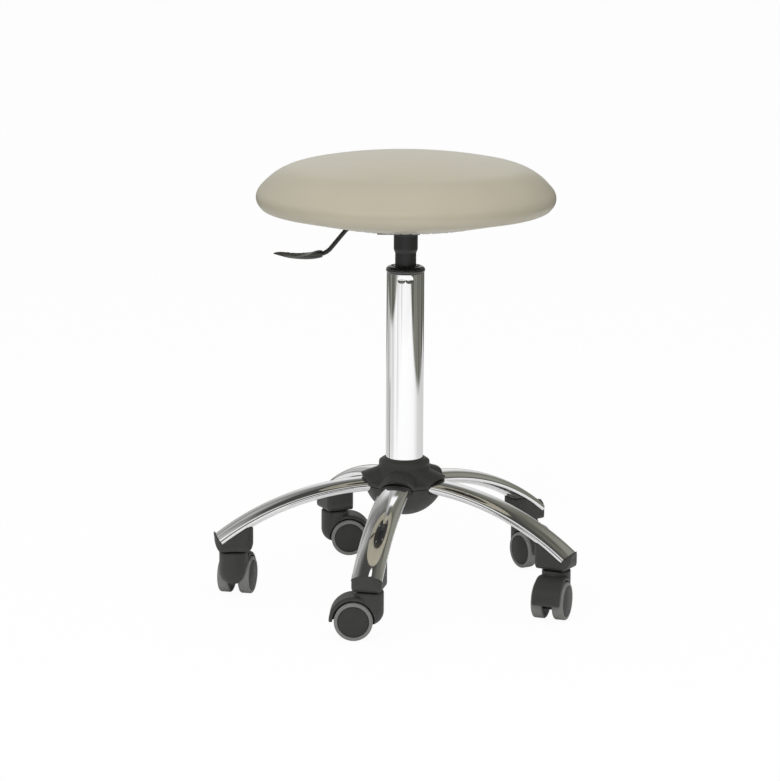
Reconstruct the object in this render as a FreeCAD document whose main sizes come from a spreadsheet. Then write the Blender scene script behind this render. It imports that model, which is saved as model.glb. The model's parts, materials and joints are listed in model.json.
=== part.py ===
import FreeCAD
import Part
import math
import os
import Sketcher
from types import SimpleNamespace

# A medical rolling stool: round cushion on a gas column, five arched tube arms, twin-wheel casters.
# Millimetres and degrees, +Z up, origin on the column axis at floor level, arms named from the
# left one in the photograph and then clockwise as seen from above.

DOC = FreeCAD.newDocument("rolling_stool")
SHEET = DOC.addObject("Spreadsheet::Sheet", "Sizes")

ARMS = 5
BOLTS = 4
FULL_TURN = 360
UP = FreeCAD.Vector(0, 0, 1)

# Shape ratios
HEAD_FLAT = 0.6
BALL_NECK = 0.5
CAP_TUCK = 0.2
CAP_SIDE = 0.5
CAP_BROW = 0.8
CAP_BACK = 0.7
CAP_DIP = 0.25
CAP_LIP = 0.1
FOOT_TOE = 1.2
FOOT_LEAN = 0.25
FOOT_CLEAR = 1.5

# The paddle's sections from root to tip: how far out, half width in shares of paddle_half, then in shares
# of paddle_thick the +Y rim, the -Y rim, the top's crown (negative where it is hollow) and the belly
PADDLE_LEAF = [
    (0.0, 0.54, 0.1, 0.1, 0.44, 0.55),
    (0.18, 0.81, 0.28, 0.16, 0.2, 0.95),
    (0.42, 1.0, -0.14, 0.0, -0.23, 0.7),
    (0.7, 0.73, -0.32, 0.14, -0.14, 0.39),
    (1.0, 0.09, 0.05, 0.1, 0.03, 0.07),
]

# Driving dimensions
SIZES = {
    # Cushion
    "seat_dia": 400.0,
    "seat_rise": 30.0,
    "edge_radius": 18.0,
    "edge_angle": 38.4,
    "shoulder_radius": 86.0,
    "crown_angle": 77.7,
    "tuck_radius": 16.0,
    "cover_thick": 1.2,
    "hem_lap": 8.0,
    "board_level": 508.0,
    "board_thick": 12.0,
    "foam_wrap": 13.0,
    # Seat plate, its bolts and the release
    "plate_side": 150.0,
    "plate_thick": 3.0,
    "plate_corner": 14.0,
    "bolt_pitch": 112.0,
    "bolt_dia": 8.0,
    "bolt_head_dia": 15.0,
    "bolt_head_high": 4.5,
    "nut_barrel_dia": 11.0,
    "nut_flange_dia": 22.0,
    "nut_flange_thick": 1.6,
    "pan_deep": 15.0,
    "pan_wide": 33.0,
    "pan_near": 38.0,
    "pan_far": 19.0,
    "pan_wall": 2.5,
    "socket_dia": 32.0,
    "socket_long": 24.3,
    "lever_angle": 180.0,
    "lever_dia": 6.0,
    "lever_arm": 28.0,
    "lever_inner": 6.0,
    "lever_bend_near": 74.5,
    "lever_bend_far": 106.0,
    "lever_bend_radius": 22.0,
    "lever_grip": 5.0,
    "lever_drop": 38.5,
    "paddle_lap": 6.4,
    "paddle_tip": 175.5,
    "paddle_half": 13.0,
    "paddle_thick": 8.8,
    "barrel_dia": 11.0,
    "barrel_wide": 14.0,
    "pin_dia": 5.0,
    "button_dia": 7.0,
    "button_edge": 1.0,
    "button_deep": 9.0,
    "button_proud": 4.7,
    # Gas column
    "gas_dia": 28.0,
    "gas_foot": 146.0,
    "gas_wall": 2.0,
    "gas_cap": 8.0,
    "neck_shrink": 0.6,
    "lift_stroke": 200.0,
    "rod_dia": 10.0,
    "rod_end": 1.5,
    "piston_thick": 14.0,
    "collar_dia": 18.0,
    "collar_thick": 4.0,
    "clip_dia": 17.0,
    "clip_thick": 1.5,
    "clip_bite": 1.2,
    "bearing_dia": 30.0,
    "bearing_washer": 1.8,
    "bearing_ball": 5.0,
    "tube_dia": 50.0,
    "tube_wall": 1.6,
    "tube_foot": 118.0,
    "tube_floor": 3.0,
    "tube_top": 438.0,
    "cone_top": 164.0,
    "cone_shrink": 1.0,
    "bush_long": 80.0,
    "bush_cap": 8.4,
    "bush_proud": 1.0,
    "dimple_dia": 5.0,
    "dimple_deep": 0.7,
    "dimple_drop": 7.0,
    "dimple_spread": 5.2,
    # Hub and arms
    "first_arm_angle": -173.0,
    "arm_root": 30.0,
    "arm_high": 151.7,
    "arm_seat": 13.8,
    "arm_past": 17.5,
    "arm_wide": 41.0,
    "arm_thick": 19.0,
    "arm_wall": 1.6,
    "core_low": 128.5,
    "collar_top": 187.0,
    "collar_mouth_dia": 55.0,
    "hub_collar_dia": 68.0,
    "collar_shoulder": 182.5,
    "collar_foot": 175.0,
    "flare_radius": 24.0,
    "hub_dia": 107.0,
    "hub_belt": 5.0,
    "hub_wall": 3.0,
    "bowl_low": 110.0,
    "bowl_flat_dia": 26.0,
    "bowl_radius": 54.5,
    "lobe_root_half": 26.0,
    "lobe_root_rise": 25.5,
    "lobe_reach": 58.5,
    "lobe_tip_half": 24.6,
    "lobe_tip_rise": 14.6,
    # Feet
    "stem_reach": 230.0,
    "foot_level": 64.5,
    "foot_back": 26.0,
    "foot_front": 26.5,
    "lip_rise": 8.7,
    "foot_wide": 40.0,
    "foot_corner": 10.0,
    "foot_bulge": 8.0,
    "foot_rim": 2.0,
    "foot_taper_high": 14.0,
    "foot_taper_in": 6.0,
    "foot_side_in": 2.0,
    "foot_curl": 17.0,
    "foot_sink": 2.5,
    # Casters
    "wheel_dia": 50.0,
    "wheel_wide": 15.0,
    "wheel_dome": 2.6,
    "tread_thick": 4.6,
    "tread_round": 2.0,
    "trail": 19.5,
    "web_thick": 13.0,
    "web_radius": 13.0,
    "axle_dia": 6.0,
    "axle_long": 38.0,
    "swivel_gap": 2.0,
    "hood_gap": 2.0,
    "hood_wall": 5.0,
    "hood_wide": 38.0,
    "hood_edge": 3.0,
    "guard_back_angle": 92.0,
    "guard_front_angle": 40.0,
    "boss_dia": 38.0,
    "boss_edge": 1.5,
    "boss_drop": 27.0,
    "stem_dia": 8.0,
    "stem_top_dia": 10.0,
    "stem_foot": 36.0,
    "stem_high": 11.0,
    "stem_edge": 1.0,
    "stem_flange_dia": 15.0,
    "swivel_angle_1": 77.0,
    "swivel_angle_2": 4.0,
    "swivel_angle_3": -57.0,
    "swivel_angle_4": -109.0,
    "swivel_angle_5": 178.0,
    # Clearances
    "run_fit": 0.05,
    "slip": 0.25,
    "cover_gap": 0.6,
    "rest_gap": 0.3,
    "slot_play": 1.0,
    "barrel_clear": 1.5,
    "hem_clear": 6.0,
}

for row, (alias, number) in enumerate(SIZES.items(), start=1):
    SHEET.set(f"A{row}", alias)
    SHEET.set(f"B{row}", str(number))
    SHEET.setAlias(f"B{row}", alias)
DOC.recompute()


class Dim:
    """A number together with the sheet expression that gives it."""

    def __init__(self, value, text):
        self.value = float(value)
        self.text = text

    def __add__(self, other):
        other = dim(other)
        return Dim(self.value + other.value, f"({self.text} + {other.text})")

    def __sub__(self, other):
        other = dim(other)
        return Dim(self.value - other.value, f"({self.text} - {other.text})")

    def __mul__(self, other):
        other = dim(other)
        return Dim(self.value * other.value, f"({self.text} * {other.text})")

    def __truediv__(self, other):
        other = dim(other)
        return Dim(self.value / other.value, f"({self.text} / {other.text})")

    def __rmul__(self, other):
        return dim(other) * self

    def __rsub__(self, other):
        return dim(other) - self

    def __neg__(self):
        return Dim(-self.value, f"(-{self.text})")


def dim(number):
    """A plain number as a Dim; a Dim is handed back as it is."""
    return number if isinstance(number, Dim) else Dim(number, repr(float(number)))


def cosine(angle):
    return Dim(math.cos(math.radians(angle.value)), f"cos({angle.text})")


def sine(angle):
    return Dim(math.sin(math.radians(angle.value)), f"sin({angle.text})")


def root(number):
    return Dim(math.sqrt(number.value), f"sqrt({number.text})")


ZERO = dim(0)
s = SimpleNamespace(**{alias: Dim(number, f"Sizes.{alias}") for alias, number in SIZES.items()})

NODES = {}


def keep(label, thing):
    """Registers a finished object as a node under its label."""
    thing.Label = label
    NODES[label] = thing
    return thing


# Sketch helpers

def new_body(name):
    return DOC.addObject("PartDesign::Body", name)


def origin_item(body, role):
    for item in body.Origin.OriginFeatures:
        if item.Role == role:
            return item
    raise ValueError(role)


def sketch_on(body, role, shift=None):
    """A sketch on one of the body's origin planes, moved along the plane's normal by shift."""
    sketch = body.newObject("Sketcher::SketchObject", "Sketch")
    sketch.AttachmentSupport = [(origin_item(body, role), "")]
    sketch.MapMode = "FlatFace"
    if shift is not None:
        offset = FreeCAD.Vector(0, 0, shift.value)
        sketch.AttachmentOffset = FreeCAD.Placement(offset, FreeCAD.Rotation())
        sketch.setExpression("AttachmentOffset.Base.z", shift.text)
    return sketch


def bind(sketch, constraint, size):
    number = sketch.addConstraint(constraint)
    sketch.setExpression(f"Constraints[{number}]", size.text)


def pin_point(sketch, geo, pos, u, v):
    """Holds a point of the sketch at (u, v)."""
    for kind, axis, size in (("DistanceX", -2, u), ("DistanceY", -1, v)):
        if size is ZERO:
            sketch.addConstraint(Sketcher.Constraint("PointOnObject", geo, pos, axis))
        else:
            bind(sketch, Sketcher.Constraint(kind, -1, 1, geo, pos, size.value), size)


def arc_between(start, end, radius, turn):
    """The short arc between two points; turn is 1 for anticlockwise and -1 for clockwise."""
    chord = end.sub(start)
    half = chord.Length / 2
    rise = math.sqrt(max(radius * radius - half * half, 0.0))
    left = FreeCAD.Vector(-chord.y, chord.x, 0).multiply(1 / chord.Length)
    centre = start.add(end).multiply(0.5).add(left.multiply(turn * rise))
    first, last = (start, end) if turn > 0 else (end, start)
    angles = [math.atan2(p.y - centre.y, p.x - centre.x) for p in (first, last)]
    if angles[1] <= angles[0]:
        angles[1] += 2 * math.pi
    return Part.ArcOfCircle(Part.Circle(centre, UP, radius), angles[0], angles[1])


def outline(sketch, corners):
    """A closed outline; a corner is (u, v) or, where an arc leaves it, (u, v, radius, turn)."""
    points = [FreeCAD.Vector(c[0].value, c[1].value, 0) for c in corners]
    ends = []
    for i, corner in enumerate(corners):
        here = points[i]
        there = points[(i + 1) % len(points)]
        if len(corner) == 2:
            geo = sketch.addGeometry(Part.LineSegment(here, there))
            ends.append((geo, 1, 2))
            continue
        radius, turn = corner[2], corner[3]
        geo = sketch.addGeometry(arc_between(here, there, radius.value, turn))
        ends.append((geo, 1, 2) if turn > 0 else (geo, 2, 1))
        bind(sketch, Sketcher.Constraint("Radius", geo, radius.value), radius)
    for i, (geo, _, last) in enumerate(ends):
        following, first, _ = ends[(i + 1) % len(ends)]
        sketch.addConstraint(Sketcher.Constraint("Coincident", geo, last, following, first))
    for (geo, first, _), corner in zip(ends, corners):
        pin_point(sketch, geo, first, corner[0], corner[1])


def box_outline(sketch, left, right, low, high):
    outline(sketch, [(left, low), (right, low), (right, high), (left, high)])


def round_box(sketch, left, right, low, high, corner):
    """A rectangle with rounded corners."""
    outline(sketch, [
        (left + corner, low), (right - corner, low, corner, 1),
        (right, low + corner), (right, high - corner, corner, 1),
        (right - corner, high), (left + corner, high, corner, 1),
        (left, high - corner), (left, low + corner, corner, 1),
    ])


def circle(sketch, u, v, radius):
    centre = FreeCAD.Vector(u.value, v.value, 0)
    geo = sketch.addGeometry(Part.Circle(centre, UP, radius.value))
    bind(sketch, Sketcher.Constraint("Radius", geo, radius.value), radius)
    pin_point(sketch, geo, 3, u, v)


def ellipse(sketch, v, half_wide, half_high):
    """An ellipse on the sketch's upright axis, wider than high."""
    centre = FreeCAD.Vector(0, v.value, 0)
    side = FreeCAD.Vector(half_wide.value, v.value, 0)
    top = FreeCAD.Vector(0, v.value + half_high.value, 0)
    geo = sketch.addGeometry(Part.Ellipse(side, top, centre))
    sketch.exposeInternalGeometry(geo)
    long_line, short_line = geo + 1, geo + 2
    pin_point(sketch, geo, 3, ZERO, v)
    sketch.addConstraint(Sketcher.Constraint("Horizontal", long_line))
    bind(sketch, Sketcher.Constraint("Distance", long_line, 2 * half_wide.value), 2 * half_wide)
    bind(sketch, Sketcher.Constraint("Distance", short_line, 2 * half_high.value), 2 * half_high)


# Feature helpers

def feature(body, kind, sketch, **settings):
    made = body.newObject(f"PartDesign::{kind}", kind)
    made.Profile = sketch
    for name, value in settings.items():
        setattr(made, name, value)
    return made


def spin(body, sketch, kind="Revolution", axis="V_Axis"):
    return feature(body, kind, sketch, ReferenceAxis=(sketch, [axis]), Angle=FULL_TURN)


def raise_by(body, sketch, length, kind="Pad", **settings):
    made = feature(body, kind, sketch, Length=length.value, **settings)
    made.setExpression("Length", length.text)
    return made


def ring_of(body, original, count=ARMS):
    """Repeats a feature evenly round the body's Z axis."""
    pattern = body.newObject("PartDesign::PolarPattern", "Pattern")
    pattern.Originals = [original]
    pattern.Axis = (origin_item(body, "Z_Axis"), [""])
    pattern.Angle = FULL_TURN
    pattern.Occurrences = count
    body.Tip = pattern
    return pattern


def turned_body(name, corners):
    """A body turned about Z from one closed half-section."""
    body = new_body(name)
    sketch = sketch_on(body, "XZ_Plane")
    outline(sketch, corners)
    spin(body, sketch)
    return body


def place(thing, turn=None, x=None, y=None, z=None):
    """Turns an object about Z and moves it, with every value bound to the sheet."""
    spot = FreeCAD.Vector(*(0 if part is None else part.value for part in (x, y, z)))
    thing.Placement = FreeCAD.Placement(spot, FreeCAD.Rotation(UP, 1))
    thing.setExpression("Placement.Rotation.Angle", "0" if turn is None else turn.text)
    for name, part in (("x", x), ("y", y), ("z", z)):
        if part is not None:
            thing.setExpression(f"Placement.Base.{name}", part.text)


def group(label, members):
    made = DOC.addObject("Part::Compound", label)
    made.Links = members
    return keep(label, made)


# Shared levels and radii
seat_r = s.seat_dia / 2
gas_r = s.gas_dia / 2
rod_r = s.rod_dia / 2
tube_r = s.tube_dia / 2
tube_in = tube_r - s.tube_wall
wheel_r = s.wheel_dia / 2
plate_low = s.board_level - s.plate_thick
pan_low = plate_low - s.pan_deep
pan_floor = pan_low + s.pan_wall
seat_level = s.board_level + s.seat_rise
socket_level = pan_low - s.socket_long
lever_r = s.lever_dia / 2
lever_level = pan_floor + s.barrel_dia / 2 + s.barrel_clear
paddle_level = lever_level - s.lever_drop
button_top = lever_level - lever_r - s.rest_gap
gas_top = button_top - s.button_proud
arm_reach = s.stem_reach + s.arm_past
arm_run = arm_reach - s.arm_root
arm_drop = s.arm_high - s.foot_level - s.arm_seat
arm_bend = (arm_run * arm_run + arm_drop * arm_drop) / (2 * arm_drop)
hood_top = s.foot_level - s.swivel_gap
neck_r = gas_r - s.neck_shrink
bolt_r = s.bolt_dia / 2
nut_low = s.board_level + s.board_thick - s.nut_flange_thick
axle_r = s.axle_dia / 2
stem_r = s.stem_dia / 2
step = dim(FULL_TURN / ARMS)
half_side = s.plate_side / 2
plate_reach = (half_side - s.plate_corner) * root(dim(2)) + s.plate_corner
hem_r = plate_reach + s.hem_clear


def arm_angle(k):
    """Bearing of arm k, counted clockwise from above, kept between -180 and 180."""
    angle = s.first_arm_angle - step * k
    return angle if angle.value > -180 else angle + FULL_TURN


# Cushion: half-section arcs shared by the cover, the foam and the board

# The cover runs straight from the flat under the board to the round tuck below the rim
draw_run = seat_r - s.tuck_radius - hem_r - s.hem_lap
draw_rise = s.seat_rise + s.cover_thick
draw_square = draw_run * draw_run + draw_rise * draw_rise
draw_long = root(draw_square - s.tuck_radius * s.tuck_radius)
tuck_cos = (draw_rise * draw_long - draw_run * s.tuck_radius) / draw_square
tuck_sin = (draw_run * draw_long + draw_rise * s.tuck_radius) / draw_square


class CushionLine:
    """Half-section of the cushion at a given depth under its outer surface."""

    def __init__(self, inset):
        edge = s.edge_radius
        shoulder = s.shoulder_radius
        shoulder_x = seat_r - edge + (edge - shoulder) * cosine(s.edge_angle)
        shoulder_z = seat_level + (edge - shoulder) * sine(s.edge_angle)
        crown = shoulder + shoulder_x / cosine(s.crown_angle)
        crown_z = shoulder_z + (shoulder - crown) * sine(s.crown_angle)
        slope = tuck_cos / tuck_sin
        self.edge = edge - inset
        self.shoulder = shoulder - inset
        self.crown = crown - inset
        self.tuck = s.tuck_radius - inset
        self.slope = slope
        self.top = (ZERO, crown_z + self.crown)
        self.brow = (self.crown * cosine(s.crown_angle), crown_z + self.crown * sine(s.crown_angle))
        self.cheek = (
            seat_r - edge + self.edge * cosine(s.edge_angle),
            seat_level + self.edge * sine(s.edge_angle),
        )
        self.equator = (seat_r - inset, seat_level)
        self.under = (
            seat_r - s.tuck_radius + self.tuck * tuck_cos,
            seat_level - self.tuck * tuck_sin,
        )
        self.floor_z = s.board_level - s.cover_thick + inset
        self.floor_x = self.under[0] - (self.under[1] - self.floor_z) / slope

    def down(self):
        """Corners from the crown down to the tuck's end, clockwise."""
        return [
            (*self.top, self.crown, -1), (*self.brow, self.shoulder, -1),
            (*self.cheek, self.edge, -1), (*self.equator, self.tuck, -1), self.under,
        ]

    def up(self):
        """Corners from the tuck's end up to the crown, anticlockwise."""
        return [
            (*self.under, self.tuck, 1), (*self.equator, self.edge, 1),
            (*self.cheek, self.shoulder, 1), (*self.brow, self.crown, 1), self.top,
        ]


skin = CushionLine(ZERO)
lining = CushionLine(s.cover_thick)
board_top = s.board_level + s.board_thick
board_r = lining.under[0] - s.foam_wrap
rim_low = s.board_level + (board_r - lining.floor_x) * lining.slope
rim_top = rim_low + s.board_thick

keep("seat_cover", turned_body("seat_cover", [
    *skin.down(), (skin.floor_x, skin.floor_z), (hem_r, skin.floor_z),
    (hem_r, s.board_level), (lining.floor_x, s.board_level), *lining.up(),
]))

keep("seat_foam", turned_body("seat_foam", [
    (ZERO, board_top), (lining.floor_x, board_top), (board_r, rim_top),
    (board_r, rim_low), *lining.up(),
]))

board = turned_body("seat_board", [
    (ZERO, s.board_level), (lining.floor_x, s.board_level), (board_r, rim_low),
    (board_r, rim_top), (lining.floor_x, board_top), (ZERO, board_top),
])


def bolt_holes(body, level, radius, depth):
    """Four holes on the bolt pattern, from a level upwards."""
    sketch = sketch_on(body, "XY_Plane", level)
    for across in (1, -1):
        for along in (1, -1):
            circle(sketch, across * s.bolt_pitch / 2, along * s.bolt_pitch / 2, radius)
    return raise_by(body, sketch, depth, "Pocket", Reversed=True)


bolt_holes(board, s.board_level, s.nut_barrel_dia / 2, s.board_thick)
bolt_holes(board, nut_low, s.nut_flange_dia / 2, s.nut_flange_thick)
keep("seat_board", board)


# Bolts and nuts that hold the plate under the board

def bolt_body(name):
    low = plate_low - s.bolt_head_high
    head_r = s.bolt_head_dia / 2
    return turned_body(name, [
        (ZERO, low), (head_r * HEAD_FLAT, low, head_r, 1), (head_r, plate_low),
        (bolt_r, plate_low), (bolt_r, nut_low), (ZERO, nut_low),
    ])


def nut_body(name):
    barrel = s.nut_barrel_dia / 2
    flange = s.nut_flange_dia / 2
    return turned_body(name, [
        (bolt_r, s.board_level), (barrel, s.board_level), (barrel, nut_low), (flange, nut_low),
        (flange, board_top), (bolt_r, board_top),
    ])


def on_pattern(maker, name):
    """Four copies of a fastener, one at each corner of the bolt pattern."""
    made = []
    for i in range(BOLTS):
        body = maker(f"{name}_{i + 1}")
        across = 1 if i in (0, 3) else -1
        along = 1 if i in (0, 1) else -1
        place(body, None, across * s.bolt_pitch / 2, along * s.bolt_pitch / 2)
        made.append(body)
    return made


group("seat_tee_nuts", on_pattern(nut_body, "tee_nut"))
group("seat_bolts", on_pattern(bolt_body, "seat_bolt"))

# Seat plate: flange, lever pan and column socket in one pressing, lever towards the body's +X
plate = new_body("seat_plate")
sketch = sketch_on(plate, "XY_Plane", plate_low)
round_box(sketch, -half_side, half_side, -half_side, half_side, s.plate_corner)
raise_by(plate, sketch, s.plate_thick)
half_pan = s.pan_wide / 2
sketch = sketch_on(plate, "XY_Plane", pan_low)
box_outline(sketch, -s.pan_far, s.pan_near, -half_pan, half_pan)
raise_by(plate, sketch, s.pan_deep)
socket_r = s.socket_dia / 2
sketch = sketch_on(plate, "XY_Plane", socket_level)
circle(sketch, ZERO, ZERO, socket_r)
raise_by(plate, sketch, pan_low - socket_level)
inner_pan = half_pan - s.pan_wall
sketch = sketch_on(plate, "XY_Plane", pan_floor)
box_outline(sketch, s.pan_wall - s.pan_far, s.pan_near - s.pan_wall, -inner_pan, inner_pan)
raise_by(plate, sketch, s.board_level - pan_floor, "Pocket", Reversed=True)
sketch = sketch_on(plate, "XZ_Plane")
outline(sketch, [
    (ZERO, socket_level), (gas_r, socket_level), (neck_r, gas_top), (neck_r, pan_floor),
    (ZERO, pan_floor),
])
spin(plate, sketch, "Groove")
bolt_holes(plate, plate_low, bolt_r + s.slip, s.plate_thick)
# Slot for the lever through the pan's end wall and on through the flange, where the rod rises
slot_half = lever_r + s.slot_play
slot_from = s.pan_near - s.pan_wall
sketch = sketch_on(plate, "YZ_Plane", slot_from)
box_outline(sketch, -slot_half, slot_half, lever_level - slot_half, s.board_level)
raise_by(plate, sketch, half_side - slot_from, "Pocket", Reversed=True)
# Pin holes through the pan's side walls
pin_r = s.pin_dia / 2
sketch = sketch_on(plate, "XZ_Plane")
circle(sketch, s.lever_arm, lever_level, pin_r)
raise_by(plate, sketch, s.pan_wide, "Pocket", SideType="Symmetric")
place(plate, s.lever_angle)
keep("seat_plate", plate)

pin = new_body("lever_pin")
sketch = sketch_on(pin, "XZ_Plane")
circle(sketch, s.lever_arm, lever_level, pin_r)
raise_by(pin, sketch, s.pan_wide, SideType="Symmetric")
place(pin, s.lever_angle)
keep("lever_pin", pin)


# Release lever: bent rod with a pivot barrel, and its paddle

def end_of_run(corner, side):
    """Where a straight run of the rod stops short of a bend's corner."""
    drop = lever_level - paddle_level
    go = s.lever_bend_far - s.lever_bend_near
    slant = root(drop * drop + go * go)
    back = s.lever_bend_radius * drop / (slant + go)
    return corner + side * back


bend_start = end_of_run(s.lever_bend_near, -1)
bend_stop = end_of_run(s.lever_bend_far, 1)
paddle_root = bend_stop - s.paddle_lap


def path_of_lever(body):
    """Open path: level, down at a slope, level again, with rounded bends."""
    sketch = sketch_on(body, "XZ_Plane")
    near, far = s.lever_bend_near.value, s.lever_bend_far.value
    high, low = lever_level.value, paddle_level.value
    bend = s.lever_bend_radius.value
    fall = math.atan2(high - low, far - near)
    back = bend * math.tan(fall / 2)
    along = FreeCAD.Vector(math.cos(fall), -math.sin(fall), 0).multiply(back)
    top_corner = FreeCAD.Vector(near, high, 0)
    low_corner = FreeCAD.Vector(far, low, 0)
    run = FreeCAD.Vector(back, 0, 0)
    stops = [
        FreeCAD.Vector(-s.lever_inner.value, high, 0), top_corner.sub(run), top_corner.add(along),
        low_corner.sub(along), low_corner.add(run),
        FreeCAD.Vector(far + back + s.lever_grip.value, low, 0),
    ]
    first = sketch.addGeometry(Part.LineSegment(stops[0], stops[1]))
    upper = sketch.addGeometry(arc_between(stops[1], stops[2], bend, -1))
    middle = sketch.addGeometry(Part.LineSegment(stops[2], stops[3]))
    lower = sketch.addGeometry(arc_between(stops[3], stops[4], bend, 1))
    last = sketch.addGeometry(Part.LineSegment(stops[4], stops[5]))
    for one, end, two, start in (
        (first, 2, upper, 2), (upper, 1, middle, 1), (middle, 2, lower, 1), (lower, 2, last, 1),
    ):
        sketch.addConstraint(Sketcher.Constraint("Tangent", one, end, two, start))
    sketch.addConstraint(Sketcher.Constraint("Horizontal", first))
    sketch.addConstraint(Sketcher.Constraint("Horizontal", last))
    for arc in (upper, lower):
        bind(sketch, Sketcher.Constraint("Radius", arc, bend), s.lever_bend_radius)
    pin_point(sketch, first, 1, -s.lever_inner, lever_level)
    pin_point(sketch, last, 2, bend_stop + s.lever_grip, paddle_level)
    # The slope's ends are held by where the straight runs stop
    bind(sketch, Sketcher.Constraint("DistanceX", -1, 1, first, 2, bend_start.value), bend_start)
    bind(sketch, Sketcher.Constraint("DistanceX", -1, 1, last, 1, bend_stop.value), bend_stop)
    return sketch


def rod_along(body, kind):
    """Adds the rod along its path, or cuts it out of a piece that grips it."""
    spine = path_of_lever(body)
    sketch = sketch_on(body, "YZ_Plane", -s.lever_inner)
    circle(sketch, ZERO, lever_level, lever_r)
    edges = [f"Edge{n + 1}" for n in range(5)]
    feature(body, kind, sketch, Spine=(spine, edges))


lever = new_body("release_lever")
rod_along(lever, "AdditivePipe")
sketch = sketch_on(lever, "XZ_Plane")
circle(sketch, s.lever_arm, lever_level, s.barrel_dia / 2)
raise_by(lever, sketch, s.barrel_wide, SideType="Symmetric")
sketch = sketch_on(lever, "XZ_Plane")
circle(sketch, s.lever_arm, lever_level, pin_r + s.run_fit)
raise_by(lever, sketch, s.pan_wide, "Pocket", SideType="Symmetric")
place(lever, s.lever_angle)
keep("release_lever", lever)

# Paddle: a leaf lofted from a round root to a hollow blade that leans towards the sitter's hand

def leaf_section(body, out, half, near, far, crown, belly):
    """A lens across the paddle between its two rims, from one row of ratios."""
    sketch = sketch_on(body, "YZ_Plane", paddle_root + (s.paddle_tip - paddle_root) * out)
    side = s.paddle_half * half
    tilt = s.paddle_thick * (far - near) / 2

    def radius(bow):
        rise = s.paddle_thick * bow
        return (side * side + tilt * tilt + rise * rise) / (2 * rise)

    turn = 1 if crown > 0 else -1
    outline(sketch, [
        (-side, paddle_level + s.paddle_thick * far, radius(belly), 1),
        (side, paddle_level + s.paddle_thick * near, radius(crown * turn), turn),
    ])
    return sketch


paddle = new_body("lever_paddle")
first, *others = [leaf_section(paddle, *ratios) for ratios in PADDLE_LEAF]
feature(paddle, "AdditiveLoft", first, Sections=others)
rod_along(paddle, "SubtractivePipe")
place(paddle, s.lever_angle)
keep("lever_paddle", paddle)

# Gas column: cylinder that carries the seat, its release pin, the rod and the bearing
gas_in = gas_r - s.gas_wall
head_low = gas_top - s.gas_cap * 2
pin_hole = s.button_dia / 2 + s.run_fit
keep("gas_cylinder", turned_body("gas_cylinder", [
    (rod_r + s.run_fit, s.gas_foot), (gas_r, s.gas_foot), (gas_r, socket_level),
    (neck_r, gas_top), (pin_hole, gas_top), (pin_hole, gas_top - s.button_deep),
    (ZERO, gas_top - s.button_deep), (ZERO, head_low), (gas_in, head_low),
    (gas_in, s.gas_foot + s.gas_cap), (rod_r + s.run_fit, s.gas_foot + s.gas_cap),
]))

button_low = button_top - s.button_deep
button_r = s.button_dia / 2
keep("release_button", turned_body("release_button", [
    (ZERO, button_low), (button_r, button_low), (button_r, button_top - s.button_edge),
    (button_r - s.button_edge, button_top), (ZERO, button_top),
]))

bearing_low = s.tube_foot + s.tube_floor
bearing_high = bearing_low + 2 * s.bearing_washer + s.bearing_ball
piston_low = s.gas_foot + s.gas_cap + s.lift_stroke + s.rest_gap
clip_high = s.tube_foot - s.rest_gap
clip_low = clip_high - s.clip_thick
rod_foot = clip_low - s.rod_end
groove_r = rod_r - s.clip_bite
collar_r = s.collar_dia / 2
piston_r = gas_in - s.rest_gap
keep("piston_rod", turned_body("piston_rod", [
    (ZERO, rod_foot), (rod_r, rod_foot), (rod_r, clip_low), (groove_r, clip_low),
    (groove_r, clip_high), (rod_r, clip_high), (rod_r, bearing_high), (collar_r, bearing_high),
    (collar_r, bearing_high + s.collar_thick), (rod_r, bearing_high + s.collar_thick),
    (rod_r, piston_low), (piston_r, piston_low), (piston_r, piston_low + s.piston_thick),
    (ZERO, piston_low + s.piston_thick),
]))

keep("retaining_clip", turned_body("retaining_clip", [
    (groove_r, clip_low), (s.clip_dia / 2, clip_low), (s.clip_dia / 2, clip_high),
    (groove_r, clip_high),
]))

bearing_bore = rod_r + s.rest_gap
bearing_r = s.bearing_dia / 2
race_r = (bearing_bore + bearing_r) / 2
ball_r = s.bearing_ball / 2
low_race = bearing_low + s.bearing_washer
high_race = low_race + s.bearing_ball
bearing = turned_body("thrust_bearing", [
    (bearing_bore, bearing_low), (bearing_r, bearing_low), (bearing_r, low_race),
    (race_r + ball_r * BALL_NECK, low_race), (race_r + ball_r, low_race + ball_r),
    (race_r + ball_r * BALL_NECK, high_race), (bearing_r, high_race), (bearing_r, bearing_high),
    (bearing_bore, bearing_high), (bearing_bore, high_race), (race_r - ball_r * BALL_NECK, high_race),
    (race_r - ball_r, low_race + ball_r), (race_r - ball_r * BALL_NECK, low_race),
    (bearing_bore, low_race),
])
keep("thrust_bearing", bearing)

# Outer tube with its tapered foot, and the guide bush pressed into its top
cone_r = tube_r - s.cone_shrink
cone_in = cone_r - s.tube_wall
tube = turned_body("column_tube", [
    (rod_r + s.run_fit, s.tube_foot), (cone_r, s.tube_foot), (tube_r, s.cone_top),
    (tube_r, s.tube_top), (tube_in, s.tube_top), (tube_in, s.cone_top), (cone_in, bearing_low),
    (rod_r + s.run_fit, bearing_low),
])
sketch = sketch_on(tube, "XZ_Plane", tube_r - s.dimple_deep)
for side in (1, -1):
    circle(sketch, side * s.dimple_spread, s.tube_top - s.dimple_drop, s.dimple_dia / 2)
dents = raise_by(tube, sketch, s.dimple_deep * 2, "Pocket", Reversed=True)
ring_of(tube, dents, 3)
keep("column_tube", tube)

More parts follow.
